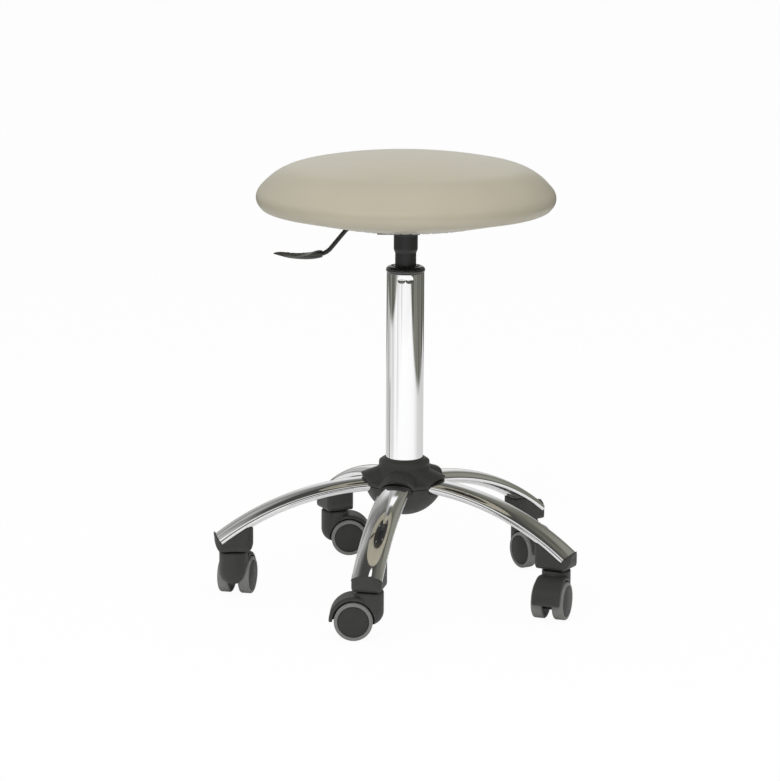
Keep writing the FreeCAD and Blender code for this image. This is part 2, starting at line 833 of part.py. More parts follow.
cap_r = tube_r + s.bush_proud
cap_high = s.tube_top + s.bush_cap
cap_edge = cap_r - s.bush_cap * CAP_TUCK
cap_brow = cap_r - s.bush_cap * CAP_BACK
lip_high = cap_high + s.bush_cap * CAP_LIP
bore_r = gas_r + s.run_fit
bush_low = s.tube_top - s.bush_long
keep("guide_bush", turned_body("guide_bush", [
    (bore_r, bush_low), (tube_in, bush_low), (tube_in, s.tube_top),
    (cap_edge, s.tube_top, s.bush_cap * CAP_SIDE, 1),
    (cap_edge, cap_high - s.bush_cap * CAP_TUCK, s.bush_cap * CAP_BROW, 1), (cap_brow, cap_high),
    (cap_r - s.bush_cap, cap_high - s.bush_cap * CAP_DIP),
    (bore_r + s.tube_wall, lip_high), (bore_r, lip_high),
]))


# Hub: five-sided steel core, arms butted to its flats, plastic covers above and below

core = new_body("hub_core")
corner_r = s.arm_root / cosine(step / 2)
sketch = sketch_on(core, "XY_Plane", s.core_low)
outline(sketch, [
    (corner_r * cosine(step * (k + 0.5)), corner_r * sine(step * (k + 0.5))) if k != 2
    else (-corner_r, ZERO)
    for k in range(ARMS)
])
raise_by(core, sketch, s.cone_top - s.core_low)
core_cone = (tube_r - cone_r) / (s.cone_top - s.tube_foot)
core_low_r = cone_r + (s.core_low - s.tube_foot) * core_cone
sketch = sketch_on(core, "XZ_Plane")
outline(sketch, [
    (ZERO, s.core_low), (core_low_r, s.core_low), (tube_r, s.cone_top), (ZERO, s.cone_top),
])
spin(core, sketch, "Groove")
place(core, s.first_arm_angle)
keep("hub_core", core)


def arm_path(body, reach):
    """The arch that every arm follows: level at the hub, falling to the foot."""
    sketch = sketch_on(body, "XZ_Plane")
    centre = FreeCAD.Vector(s.arm_root.value, s.arm_high.value - arm_bend.value, 0)
    finish = math.acos((reach.value - centre.x) / arm_bend.value)
    arch = Part.ArcOfCircle(Part.Circle(centre, UP, arm_bend.value), finish, math.pi / 2)
    geo = sketch.addGeometry(arch)
    pin_point(sketch, geo, 3, s.arm_root, s.arm_high - arm_bend)
    bind(sketch, Sketcher.Constraint("Radius", geo, arm_bend.value), arm_bend)
    bind(sketch, Sketcher.Constraint("DistanceX", -1, 1, geo, 1, reach.value), reach)
    bind(sketch, Sketcher.Constraint("DistanceX", -1, 1, geo, 2, s.arm_root.value), s.arm_root)
    return sketch


def arm_sweep(body, kind, gap, reach, hollow=False):
    """Sweeps the arm's oval, grown by gap, along the arch."""
    spine = arm_path(body, reach)
    sketch = sketch_on(body, "YZ_Plane", s.arm_root)
    ellipse(sketch, s.arm_high, s.arm_wide / 2 + gap, s.arm_thick / 2 + gap)
    if hollow:
        inner_wide = s.arm_wide / 2 - s.arm_wall
        ellipse(sketch, s.arm_high, inner_wide, s.arm_thick / 2 - s.arm_wall)
    return feature(body, kind, sketch, Spine=(spine, ["Edge1"]))


hub_r = s.hub_dia / 2
collar_out = s.hub_collar_dia / 2
belt = s.arm_high + s.hub_belt

top_cover = new_body("hub_top_cover")
sketch = sketch_on(top_cover, "XZ_Plane")
outline(sketch, [
    (ZERO, s.arm_high), (hub_r, s.arm_high), (hub_r, belt, s.flare_radius, -1),
    (collar_out + s.slip, s.collar_foot), (collar_out, s.collar_shoulder),
    (s.collar_mouth_dia / 2, s.collar_top), (ZERO, s.collar_top),
])
spin(top_cover, sketch)
sketch = sketch_on(top_cover, "YZ_Plane", s.arm_root - s.hub_wall)
ellipse(sketch, s.arm_high, s.lobe_root_half, s.lobe_root_rise)
tip_sketch = sketch_on(top_cover, "YZ_Plane", s.lobe_reach)
ellipse(tip_sketch, s.arm_high, s.lobe_tip_half, s.lobe_tip_rise)
lobe = feature(top_cover, "AdditiveLoft", sketch, Sections=[tip_sketch])
ring_of(top_cover, lobe)
# Lobe ends leaning out, so that their brows reach furthest along the arms
brow = s.arm_high + s.lobe_tip_rise
past_lobe = s.lobe_reach + s.hub_wall
sketch = sketch_on(top_cover, "XZ_Plane")
outline(sketch, [
    (hub_r, s.arm_high), (past_lobe, s.arm_high), (past_lobe, brow), (s.lobe_reach, brow), (hub_r, belt),
])
slant = raise_by(top_cover, sketch, s.lobe_root_half * 4, "Pocket", SideType="Symmetric")
ring_of(top_cover, slant)
sketch = sketch_on(top_cover, "XY_Plane", s.arm_high)
circle(sketch, ZERO, ZERO, s.lobe_reach * 2)
raise_by(top_cover, sketch, s.lobe_root_rise * 2, "Pocket")
tube_clear = tube_r + s.rest_gap
hollow_r = hub_r - s.hub_wall
sketch = sketch_on(top_cover, "XZ_Plane")
outline(sketch, [
    (ZERO, s.arm_high), (hollow_r, s.arm_high), (hollow_r, belt, s.flare_radius, -1),
    (collar_out - s.hub_wall, s.collar_foot - s.hub_wall), (tube_clear, s.collar_foot),
    (tube_clear, s.collar_top), (ZERO, s.collar_top),
])
spin(top_cover, sketch, "Groove")
tunnel = arm_sweep(top_cover, "SubtractivePipe", s.cover_gap, arm_reach)
ring_of(top_cover, tunnel)
place(top_cover, s.first_arm_angle)
keep("hub_top_cover", top_cover)

bowl = new_body("hub_bottom_cover")
flat_r = s.bowl_flat_dia / 2
sketch = sketch_on(bowl, "XZ_Plane")
outline(sketch, [
    (ZERO, s.bowl_low), (flat_r, s.bowl_low, s.bowl_radius, 1), (hub_r, s.arm_high),
    (ZERO, s.arm_high),
])
spin(bowl, sketch)
sketch = sketch_on(bowl, "XZ_Plane")
outline(sketch, [
    (ZERO, s.bowl_low + s.hub_wall), (flat_r, s.bowl_low + s.hub_wall, s.bowl_radius - s.hub_wall, 1),
    (hollow_r, s.arm_high), (ZERO, s.arm_high),
])
spin(bowl, sketch, "Groove")
tunnel = arm_sweep(bowl, "SubtractivePipe", s.cover_gap, arm_reach)
ring_of(bowl, tunnel)
place(bowl, s.first_arm_angle)
keep("hub_bottom_cover", bowl)


# Arms and feet

def arm_body(k):
    body = new_body(f"arm_{k + 1}")
    arm_sweep(body, "AdditivePipe", ZERO, arm_reach, hollow=True)
    place(body, arm_angle(k))
    return keep(f"arm_{k + 1}", body)


def foot_body(k):
    """A saddle under the arm's end with a lip over the open end of the tube."""
    body = new_body(f"foot_{k + 1}")
    inner, outer = s.stem_reach - s.foot_back, s.stem_reach + s.foot_front
    low, shoulder = s.foot_level, s.foot_level + s.foot_taper_high
    taper = s.foot_taper_in
    side_in = s.foot_side_in
    half = s.foot_wide / 2
    centre_z = s.arm_high - arm_bend
    stop = arm_reach + s.slip
    lean = (stop - s.arm_root) / arm_bend
    rise = root(1 - lean * lean)
    end_z = centre_z + arm_bend * rise
    sketch = sketch_on(body, "XZ_Plane")
    outline(sketch, [
        (inner + taper, low), (outer - taper * FOOT_TOE, low, s.foot_curl, 1),
        (outer - taper * FOOT_LEAN, shoulder), (outer, end_z + s.lip_rise), (inner, s.arm_high),
        (inner, shoulder, s.foot_curl, 1),
    ])
    raise_by(body, sketch, s.foot_wide, SideType="Symmetric")
    # Rounded plan
    margin = s.foot_wide
    sketch = sketch_on(body, "XY_Plane", low)
    box_outline(sketch, inner - margin, outer + margin, -margin, margin)
    corner = s.foot_corner
    bulge = s.foot_bulge
    bow = (half * half + bulge * bulge) / (2 * bulge)
    outline(sketch, [
        (inner + corner, -half), (outer - bulge, -half, bow, 1), (outer - bulge, half),
        (inner + corner, half, corner, 1), (inner, half - corner), (inner, corner - half, corner, 1),
    ])
    raise_by(body, sketch, s.arm_high - low, "Pocket", Reversed=True)
    # Sides drawn in towards the bottom
    sketch = sketch_on(body, "YZ_Plane", inner)
    outline(sketch, [
        (half - side_in, low), (half + side_in, low), (half + side_in, shoulder),
        (half, shoulder, s.foot_curl, -1),
    ])
    outline(sketch, [
        (side_in - half, low, s.foot_curl, -1), (-half, shoulder), (-half - side_in, shoulder),
        (-half - side_in, low),
    ])
    raise_by(body, sketch, outer - inner, "Pocket", Reversed=True)
    # Seat for the tube, then all that stands above its lower half
    arm_sweep(body, "SubtractivePipe", s.slip, stop)
    sketch = sketch_on(body, "XZ_Plane")
    bend = arm_bend - s.foot_sink
    from_x = inner - taper
    back = from_x - s.arm_root
    start_z = centre_z + root(bend * bend - back * back)
    clear = s.arm_thick * FOOT_CLEAR
    outline(sketch, [
        (s.arm_root + bend * lean, centre_z + bend * rise),
        (s.arm_root + (bend + clear) * lean, centre_z + (bend + clear) * rise),
        (from_x, s.arm_high + clear), (from_x, start_z, bend, -1),
    ])
    raise_by(body, sketch, s.foot_wide * 2, "Pocket", SideType="Symmetric")
    # Lip trimmed to an arch round the tube's end, on a plane square to the tube
    half_lip = half + s.slip
    arch = s.arm_thick / 2 + s.foot_rim
    arch_bow = (half_lip * half_lip + arch * arch) / (2 * arch)
    sketch = sketch_on(body, "YZ_Plane")
    tilt = Dim(-math.degrees(math.asin(lean.value)), f"(-asin({lean.text}))")
    spot = FreeCAD.Vector(0, end_z.value, stop.value)
    sketch.AttachmentOffset = FreeCAD.Placement(spot, FreeCAD.Rotation(FreeCAD.Vector(1, 0, 0), -1))
    sketch.setExpression("AttachmentOffset.Base.y", end_z.text)
    sketch.setExpression("AttachmentOffset.Base.z", stop.text)
    sketch.setExpression("AttachmentOffset.Rotation.Angle", tilt.text)
    outline(sketch, [
        (-half_lip, ZERO, arch_bow, -1), (half_lip, ZERO), (half_lip, clear), (-half_lip, clear),
    ])
    raise_by(body, sketch, s.foot_wide, "Pocket", Reversed=True)
    # Bore for the caster's stem
    sketch = sketch_on(body, "XY_Plane", low)
    circle(sketch, s.stem_reach, ZERO, s.stem_top_dia / 2)
    raise_by(body, sketch, s.stem_high, "Pocket", Reversed=True)
    place(body, arm_angle(k))
    return keep(f"foot_{k + 1}", body)


for k in range(ARMS):
    arm_body(k)
    foot_body(k)


# Casters, each built with its wheels trailing along the body's +X

def stem_spot(k):
    return s.stem_reach * cosine(arm_angle(k)), s.stem_reach * sine(arm_angle(k))


def stem_body(k):
    top_r = s.stem_top_dia / 2
    flange_r = s.stem_flange_dia / 2
    flange_low = hood_top + s.rest_gap
    top = s.foot_level + s.stem_high
    body = turned_body(f"stem_{k + 1}", [
        (ZERO, s.stem_foot), (stem_r, s.stem_foot), (stem_r, flange_low), (flange_r, flange_low),
        (flange_r, s.foot_level), (top_r, s.foot_level), (top_r, top - s.stem_edge),
        (top_r - s.stem_edge, top),
        (ZERO, top),
    ])
    x, y = stem_spot(k)
    place(body, None, x, y)
    return body


group("caster_stems", [stem_body(k) for k in range(ARMS)])


def hood_body(k, turn):
    """Fork and hood in one moulding: round stem boss, mudguard over the wheels, axle web."""
    body = new_body(f"caster_{k + 1}_hood")
    boss_r = s.boss_dia / 2
    well_r = wheel_r + s.hood_gap
    guard_r = well_r + s.hood_wall
    half_web = s.web_thick / 2
    half = s.hood_wide / 2
    crest = wheel_r + guard_r
    edge = s.hood_edge
    sketch = sketch_on(body, "YZ_Plane", s.trail)
    outline(sketch, [
        (-half, wheel_r), (half, wheel_r), (half, crest - edge, edge, 1), (half - edge, crest),
        (edge - half, crest, edge, 1), (-half, crest - edge),
    ])
    hinge = sketch.addGeometry(Part.LineSegment(
        FreeCAD.Vector(-1, wheel_r.value, 0), FreeCAD.Vector(1, wheel_r.value, 0)), True)
    sketch.addConstraint(Sketcher.Constraint("Horizontal", hinge))
    pin_point(sketch, hinge, 1, -half, wheel_r)
    bind(sketch, Sketcher.Constraint("DistanceX", -1, 1, hinge, 2, half.value), half)
    guard = spin(body, sketch, axis="Axis0")
    guard.Type = "TwoAngles"
    for name, size in (("Angle", s.guard_back_angle), ("Angle2", s.guard_front_angle)):
        setattr(guard, name, size.value)
        guard.setExpression(name, size.text)
    ball_z = hood_top - s.boss_drop
    sketch = sketch_on(body, "XZ_Plane")
    outline(sketch, [
        (ZERO, ball_z - boss_r, boss_r, 1), (boss_r, ball_z), (boss_r, hood_top - s.boss_edge),
        (boss_r - s.boss_edge, hood_top), (ZERO, hood_top),
    ])
    spin(body, sketch)
    sketch = sketch_on(body, "XZ_Plane")
    circle(sketch, s.trail, wheel_r, s.web_radius)
    raise_by(body, sketch, s.web_thick, SideType="Symmetric")
    for side in (1, -1):
        sketch = sketch_on(body, "XZ_Plane", side * half_web)
        circle(sketch, s.trail, wheel_r, well_r)
        raise_by(body, sketch, s.hood_wide, "Pocket", Reversed=side > 0)
    sketch = sketch_on(body, "XZ_Plane")
    circle(sketch, s.trail, wheel_r, axle_r)
    raise_by(body, sketch, s.hood_wide, "Pocket", SideType="Symmetric")
    sketch = sketch_on(body, "XY_Plane", s.stem_foot - s.rest_gap)
    circle(sketch, ZERO, ZERO, stem_r + s.run_fit)
    raise_by(body, sketch, hood_top - s.stem_foot + s.rest_gap, "Pocket", Reversed=True)
    x, y = stem_spot(k)
    place(body, turn, x, y)
    return keep(f"caster_{k + 1}_hood", body)


def axle_spot(k, turn):
    x, y = stem_spot(k)
    return x + s.trail * cosine(turn), y + s.trail * sine(turn)


def axle_body(k, turn):
    body = new_body(f"caster_{k + 1}_axle")
    sketch = sketch_on(body, "XZ_Plane")
    circle(sketch, ZERO, ZERO, axle_r)
    raise_by(body, sketch, s.axle_long, SideType="Symmetric")
    x, y = axle_spot(k, turn)
    place(body, turn, x, y, wheel_r)
    return keep(f"caster_{k + 1}_axle", body)


def rim_turned(name, corners):
    """A body turned about its own Y axis from a half-section of (along, radius) corners."""
    body = new_body(name)
    sketch = sketch_on(body, "YZ_Plane")
    outline(sketch, corners)
    spin(body, sketch, axis="H_Axis")
    return body


def wheel_pair(k, turn):
    near = s.web_thick / 2 + s.rest_gap
    far = near + s.wheel_wide
    rim_r = wheel_r - s.tread_thick
    bore = axle_r + s.run_fit
    deep = s.axle_long / 2 + s.rest_gap
    crown = far - s.tread_round / 2 + s.wheel_dome
    dome_r = (rim_r * rim_r + s.wheel_dome * s.wheel_dome) / (2 * s.wheel_dome)
    curl = s.tread_round
    x, y = axle_spot(k, turn)
    for side, half_turn in (("left", 0), ("right", FULL_TURN / 2)):
        spot = turn + half_turn if turn.value + half_turn <= 180 else turn - half_turn
        wheel = rim_turned(f"caster_{k + 1}_wheel_{side}", [
            (near, bore), (deep, bore), (deep, ZERO), (crown, ZERO, dome_r, 1),
            (far - s.tread_round / 2, rim_r), (near, rim_r),
        ])
        place(wheel, spot, x, y, wheel_r)
        keep(f"caster_{k + 1}_wheel_{side}", wheel)
        tread = rim_turned(f"caster_{k + 1}_tread_{side}", [
            (near, rim_r), (far, rim_r), (far, wheel_r - curl, curl, 1), (far - curl, wheel_r),
            (near + curl, wheel_r, curl, 1), (near, wheel_r - curl),
        ])
        place(tread, spot, x, y, wheel_r)
        keep(f"caster_{k + 1}_tread_{side}", tread)


swivels = (
    s.swivel_angle_1, s.swivel_angle_2, s.swivel_angle_3, s.swivel_angle_4, s.swivel_angle_5,
)
for k, turn in enumerate(swivels):
    hood_body(k, turn)
    axle_body(k, turn)
    wheel_pair(k, turn)

DOC.recompute()

# Every object and shape is checked before anything is written
for thing in DOC.Objects:
    if any(word in thing.State for word in ("Invalid", "Error")):
        raise RuntimeError(f"{thing.Name} did not build: {thing.State}")
for label, thing in NODES.items():
    if thing.Shape.isNull() or not thing.Shape.isValid() or thing.Shape.Volume <= 0:
        raise RuntimeError(f"{label} has no sound shape")

os.makedirs("parts", exist_ok=True)
for label, thing in NODES.items():
    thing.Shape.exportStep(f"parts/{label}.step")
print(len(NODES), "nodes written")
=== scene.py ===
"""Looks of a medical rolling stool: cushion, gas column, arched star base and casters.

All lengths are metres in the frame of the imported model: +Z up, origin on the column's axis at the floor.
"""

import json
import logging
import math
from dataclasses import dataclass
from enum import Enum
from typing import Any, Callable, NamedTuple, Sequence

import bmesh
import bpy
import numpy as np
from bpy.types import ColorRamp, Material, Mesh, Node, NodeSocket, NodeTree, Object
from mathutils import Matrix, Vector, noise


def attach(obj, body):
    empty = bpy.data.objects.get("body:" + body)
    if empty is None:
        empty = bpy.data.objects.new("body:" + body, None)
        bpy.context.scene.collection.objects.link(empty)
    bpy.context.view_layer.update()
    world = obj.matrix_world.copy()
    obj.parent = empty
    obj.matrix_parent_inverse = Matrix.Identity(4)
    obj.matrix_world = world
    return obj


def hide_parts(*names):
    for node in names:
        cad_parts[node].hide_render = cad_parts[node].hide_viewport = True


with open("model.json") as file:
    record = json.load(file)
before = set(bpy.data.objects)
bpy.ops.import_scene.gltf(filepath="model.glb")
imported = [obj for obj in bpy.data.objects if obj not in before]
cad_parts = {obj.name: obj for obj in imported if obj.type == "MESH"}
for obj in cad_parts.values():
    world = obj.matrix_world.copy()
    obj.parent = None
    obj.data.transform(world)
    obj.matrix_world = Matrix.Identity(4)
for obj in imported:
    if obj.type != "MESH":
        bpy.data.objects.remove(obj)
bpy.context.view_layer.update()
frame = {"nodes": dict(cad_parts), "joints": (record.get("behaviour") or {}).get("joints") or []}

MM = 0.001
ARMS = 5
TINY = 1e-9
WEAR = "wear"
LOG = logging.getLogger("rolling_stool")

Point = tuple[float, float]
Place = tuple[float, float, float]
Colour = tuple[float, float, float]
Items = dict[str, Any] | None


class Body(Enum):
    """Moving bodies that are not numbered."""

    BASE = "base"
    SEAT = "seat"
    LEVER = "lever"


class Side(Enum):
    """The two wheels of a caster, with the way each faces along its axle."""

    LEFT = 1
    RIGHT = -1

    @property
    def word(self) -> str:
        """The side's name as the frame writes it."""
        return self.name.lower()


class Slot(Enum):
    """Material slots of the record."""

    VINYL = "vinyl"
    BOARD = "board"
    BLACK_STEEL = "black_steel"
    STEEL = "steel"
    CHROME = "chrome"
    BLACK_PLASTIC = "black_plastic"
    WHEEL_PLASTIC = "wheel_plastic"
    GREY_TREAD = "grey_tread"


class Span(NamedTuple):
    """A soft step along an axis, from low at its start to 1 at its stop."""

    axis: str
    start: float
    stop: float
    low: float = 0.0


# Node graphs

def plug(tree: NodeTree, socket: NodeSocket, item: Any) -> None:
    """Feeds an input socket.

    Args:
        tree: the tree that it is in.
        socket: the input.
        item: a Value to link, or a number or colour to set.
    """
    if isinstance(item, Value):
        tree.links.new(item.socket, socket)
    else:
        socket.default_value = item


def operator(operation: str, swapped: bool = False) -> Callable[["Value", Any], "Value"]:
    """Makes a method of Value for one Math operation, with the other item first if swapped."""
    def method(self: "Value", other: Any) -> "Value":
        """Works out the operation on this value and another."""
        return self.math(operation, other, self) if swapped else self.math(operation, self, other)
    return method


class Value:
    """A node's output that takes part in Python arithmetic."""

    def __init__(self, tree: NodeTree, socket: NodeSocket) -> None:
        """Wraps one output socket of a tree."""
        self.tree = tree
        self.socket = socket

    def math(self, operation: str, first: Any, second: Any) -> "Value":
        """Adds one Math node.

        Args:
            operation: the node's operation.
            first: a Value or a number.
            second: a Value or a number.

        Returns:
            The node's result.
        """
        node = self.tree.nodes.new("ShaderNodeMath")
        node.operation = operation
        for socket, item in zip(node.inputs, (first, second)):
            plug(self.tree, socket, item)
        return Value(self.tree, node.outputs[0])

    __add__, __radd__ = operator("ADD"), operator("ADD", True)
    __sub__, __rsub__ = operator("SUBTRACT"), operator("SUBTRACT", True)
    __mul__, __rmul__ = operator("MULTIPLY"), operator("MULTIPLY", True)
    __pow__ = operator("POWER")
    at_most, at_least = operator("MINIMUM"), operator("MAXIMUM")


class Graph:
    """Adds nodes to one node tree and wires them."""

    def __init__(self, tree: NodeTree) -> None:
        """Starts on an emptied tree."""
        tree.nodes.clear()
        self.tree = tree

    def node(self, kind: str, settings: Items = None, inputs: Items = None) -> Node:
        """Adds any node: its settings first, then its sockets.

        Args:
            kind: the node's type.
            settings: properties of the node; "stops" fills a colour ramp.
            inputs: a Value, a number or a colour for each named input.

        Returns:
            The new node.
        """
        made = self.tree.nodes.new(kind)
        for name, item in (settings or {}).items():
            if name == "stops":
                self._fill_ramp(made.color_ramp, item)
            else:
                setattr(made, name, item)
        for name, item in (inputs or {}).items():
            self.feed(made, name, item)
        return made

    def value(self, kind: str, settings: Items = None, inputs: Items = None, out: str = "") -> Value:
        """Adds a node and hands back one output, by its name or identifier, or else the first."""
        outputs = self.node(kind, settings, inputs).outputs
        return Value(self.tree, self.find(outputs, out) if out else outputs[0])

    def feed(self, node: Node, name: str, item: Any) -> None:
        """Feeds one input of a node, by its name or identifier."""
        plug(self.tree, self.find(node.inputs, name), item)

    def blend(self, share: Value, low: Any, high: Any) -> Value:
        """A colour between two: the first where the share is 0 and the second where it is 1."""
        first, second = (end if isinstance(end, Value) else (*end, 1.0) for end in (low, high))
        return self.value("ShaderNodeMix", {"data_type": "RGBA"}, {
            "Factor_Float": share, "A_Color": first, "B_Color": second,
        }, "Result_Color")

    def ease(self, value: Value, start: float, stop: float, low: float = 0.0) -> Value:
        """A soft step from low where the value is at start to 1 where it is at stop."""
        inputs = {"Value": value, "From Min": start, "From Max": stop, "To Min": low}
        return self.value("ShaderNodeMapRange", {"interpolation_type": "SMOOTHSTEP"}, inputs, "Result")

    def area(self, axes: dict[str, Value], spans: Sequence[Span]) -> Value:
        """A soft-edged area, 1 inside all its steps, given the value that each axis stands for."""
        return math.prod(self.ease(axes[axis], start, stop, low) for axis, start, stop, low in spans)

    def speckle(self, coords: Value, size: float, detail: float = 3.0) -> Value:
        """Even noise from 0 to 1, with blotches of that size and that many finer layers."""
        inputs = {"Vector": coords, "Scale": 1.0 / size, "Detail": detail}
        return self.value("ShaderNodeTexNoise", None, inputs, "Fac")

    def axes(self, vector: Value) -> list[Value]:
        """The three parts of a vector."""
        split = self.node("ShaderNodeSeparateXYZ", None, {"Vector": vector})
        return [Value(self.tree, socket) for socket in split.outputs]

    def vector(self, x: Any = 0.0, y: Any = 0.0, z: Any = 0.0) -> Value:
        """A vector from its three parts."""
        return self.value("ShaderNodeCombineXYZ", None, {"X": x, "Y": y, "Z": z})

    def moved(self, shape: Value, **how: Any) -> Value:
        """A shape after its Scale, Rotation and Translation."""
        return self.value("GeometryNodeTransform", None, {"Geometry": shape, **how})

    def mixed(self, share: Value, first: Value, second: Value) -> Value:
        """Two shaders mixed, all of the second where the share is 1."""
        return self.value("ShaderNodeMixShader", None, {"Fac": share, "Shader": first, "Shader_001": second})

    @staticmethod
    def find(sockets: Any, name: str) -> NodeSocket:
        """The socket with that identifier or, failing that, that name."""
        return next((socket for socket in sockets if socket.identifier == name), None) or sockets[name]

    @staticmethod
    def _fill_ramp(ramp: ColorRamp, stops: Sequence[tuple[float, Colour]]) -> None:
        """Fills a colour ramp.

        Args:
            ramp: the ramp.
            stops: position and colour of each stop, from left to right.
        """
        while len(ramp.elements) < len(stops):
            ramp.elements.new(1.0)
        for element, (position, colour) in zip(ramp.elements, stops):
            element.position = position
            element.color = (*colour, 1.0)


# Finishes

class Surface:
    """A material's nodes: Object coordinates in metres, the surface shader and what feeds it."""

    def __init__(self, material: Material) -> None:
        """Starts with a plain shader.

        Args:
            material: the material, whose nodes are cleared.
        """
        self.graph = Graph(material.node_tree)
        self.coords = self.graph.value("ShaderNodeTexCoord", out="Object")
        self.shader = self.graph.node("ShaderNodeBsdfPrincipled")
        shown = Value(self.graph.tree, self.shader.outputs[0])
        self.graph.node("ShaderNodeOutputMaterial", None, {"Surface": shown})

    def set(self, name: str, item: Any) -> None:
        """Feeds one of the shader's inputs."""
        self.graph.feed(self.shader, name, item)

    def speckle(self, size: float, detail: float = 3.0) -> Value:
        """Even noise over the piece."""
        return self.graph.speckle(self.coords, size, detail)

    def sheen(self, share: Value, roughness: float, spread: float) -> None:
        """Lets the roughness vary about its mean."""
        self.set("Roughness", share * spread + (roughness - spread / 2))

    def relief(self, height: Value, depth: float, strength: float) -> None:
        """Feeds the normal from a height of 0 to 1, that deep and that strong."""
        inputs = {"Height": height, "Distance": depth, "Strength": strength}
        self.set("Normal", self.graph.value("ShaderNodeBump", None, inputs, "Normal"))


@dataclass(frozen=True)
class Finish:
    """A surface finish; each kind paints its own nodes."""

    name: str
    slot: Slot
    colour: Colour
    roughness: float

    def material(self) -> Material:
        """The finish as a material, made once.

        Returns:
            The material of this name.
        """
        found = bpy.data.materials.get(self.name)
        if found is not None:
            return found
        made = bpy.data.materials.new(self.name)
        made.use_nodes = True
        on = Surface(made)
        on.set("Base Color", (*self.colour, 1.0))
        on.set("Roughness", self.roughness)
        self.paint(on)
        return made

    def paint(self, on: Surface) -> None:
        """Adds what is this finish's own to a material's nodes."""
        raise NotImplementedError

    def shades(self, spread: float) -> tuple[Colour, Colour]:
        """The colour a little darker and a little lighter."""
        darker = tuple(c * (1.0 - spread) for c in self.colour)
        return darker, tuple(min(c * (1.0 + spread), 1.0) for c in self.colour)

    def tint(self, on: Surface, share: Value, spread: float) -> None:
        """Lets the colour vary between its two shades."""
        on.set("Base Color", on.graph.blend(share, *self.shades(spread)))


@dataclass(frozen=True)
class Vinyl(Finish):
    """Upholstery vinyl with a fine pebbled grain."""

    grain: float = 1.3 * MM
    grain_depth: float = 0.12 * MM
    grain_strength: float = 0.35
    softness: float = 0.4
    pore: float = 3.25 * MM
    pore_share: float = 0.3
    mottle: float = 60 * MM
    spread: float = 0.035
    wipe: float = 20 * MM
    wipe_spread: float = 0.12
    coat: float = 0.5
    coat_roughness: float = 0.3

    def paint(self, on: Surface) -> None:
        """Pebbled grain under a clear coat, faint mottling and an uneven sheen.

        Args:
            on: the material's nodes.
        """
        on.set("Coat Weight", self.coat)
        on.set("Coat Roughness", self.coat_roughness)
        self.tint(on, on.speckle(self.mottle), self.spread)
        on.sheen(on.speckle(self.wipe), self.roughness, self.wipe_spread)
        inputs = {"Vector": on.coords, "Scale": 1.0 / self.grain, "Smoothness": self.softness}
        pebble = on.graph.value("ShaderNodeTexVoronoi", {"feature": "SMOOTH_F1"}, inputs, "Distance")
        height = pebble * (1 - self.pore_share) + on.speckle(self.pore, 4.0) * self.pore_share
        on.relief(height, self.grain_depth, self.grain_strength)


@dataclass(frozen=True)
class Chrome(Finish):
    """Bright plating over drawn tube, with a trace of waviness and handling marks."""

    wave: float = 45 * MM
    wave_depth: float = 0.03 * MM
    wave_strength: float = 0.3
    smudge: float = 30 * MM
    smudge_power: float = 3.0
    smudge_spread: float = 0.16

    def paint(self, on: Surface) -> None:
        """Mirror metal whose gloss varies a little.

        Args:
            on: the material's nodes.
        """
        on.set("Metallic", 1.0)
        smudge = on.speckle(self.smudge, 5.0) ** self.smudge_power
        on.set("Roughness", smudge * self.smudge_spread + self.roughness)
        on.relief(on.speckle(self.wave, 1.0), self.wave_depth, self.wave_strength)


@dataclass(frozen=True)
class Moulded(Finish):
    """Moulded plastic with a fine sparked texture, paler where edges are rubbed."""

    grain: float = 0.5 * MM
    grain_depth: float = 0.04 * MM
    grain_strength: float = 0.4
    cloud: float = 22 * MM
    cloud_spread: float = 0.14
    spread: float = 0.14
    rub: float = 0.35
    rub_lift: float = 0.01
    rub_polish: float = 0.12
    gloss: float = 0.5

    def paint(self, on: Surface) -> None:
        """Clouded colour, rubbed edges and a fine texture.

        Args:
            on: the material's nodes.
        """
        on.set("Specular IOR Level", self.gloss)
        cloud = on.speckle(self.cloud)
        worn = on.graph.value("ShaderNodeAttribute", {"attribute_name": WEAR}, out="Fac")
        patchy = worn * on.speckle(self.cloud / 3, 4.0)
        low, high = self.shades(self.spread)
        pale = tuple(c * (1.0 + self.rub) + self.rub_lift for c in high)
        clouded = on.graph.blend(cloud, low, high)
        on.set("Base Color", on.graph.blend(patchy.at_most(1.0), clouded, pale))
        mean = self.roughness - self.cloud_spread / 2
        on.set("Roughness", cloud * self.cloud_spread - patchy * self.rub_polish + mean)
        on.relief(on.speckle(self.grain, 2.0), self.grain_depth, self.grain_strength)


@dataclass(frozen=True)
class Speckled(Finish):
    """Baked coat, soft rubber or plain steel: blotches in the colour and the gloss over a fine relief."""

    blotch: float
    detail: float
    spread: float
    sheen: float
    grain: float
    grain_detail: float
    depth: float
    strength: float
    metallic: float = 0.0

    def paint(self, on: Surface) -> None:
        """Blotches and relief.

        Args:
            on: the material's nodes.
        """
        on.set("Metallic", self.metallic)
        blotch = on.speckle(self.blotch, self.detail)
        self.tint(on, blotch, self.spread)
        on.sheen(blotch, self.roughness, self.sheen)
        on.relief(on.speckle(self.grain, self.grain_detail), self.depth, self.strength)


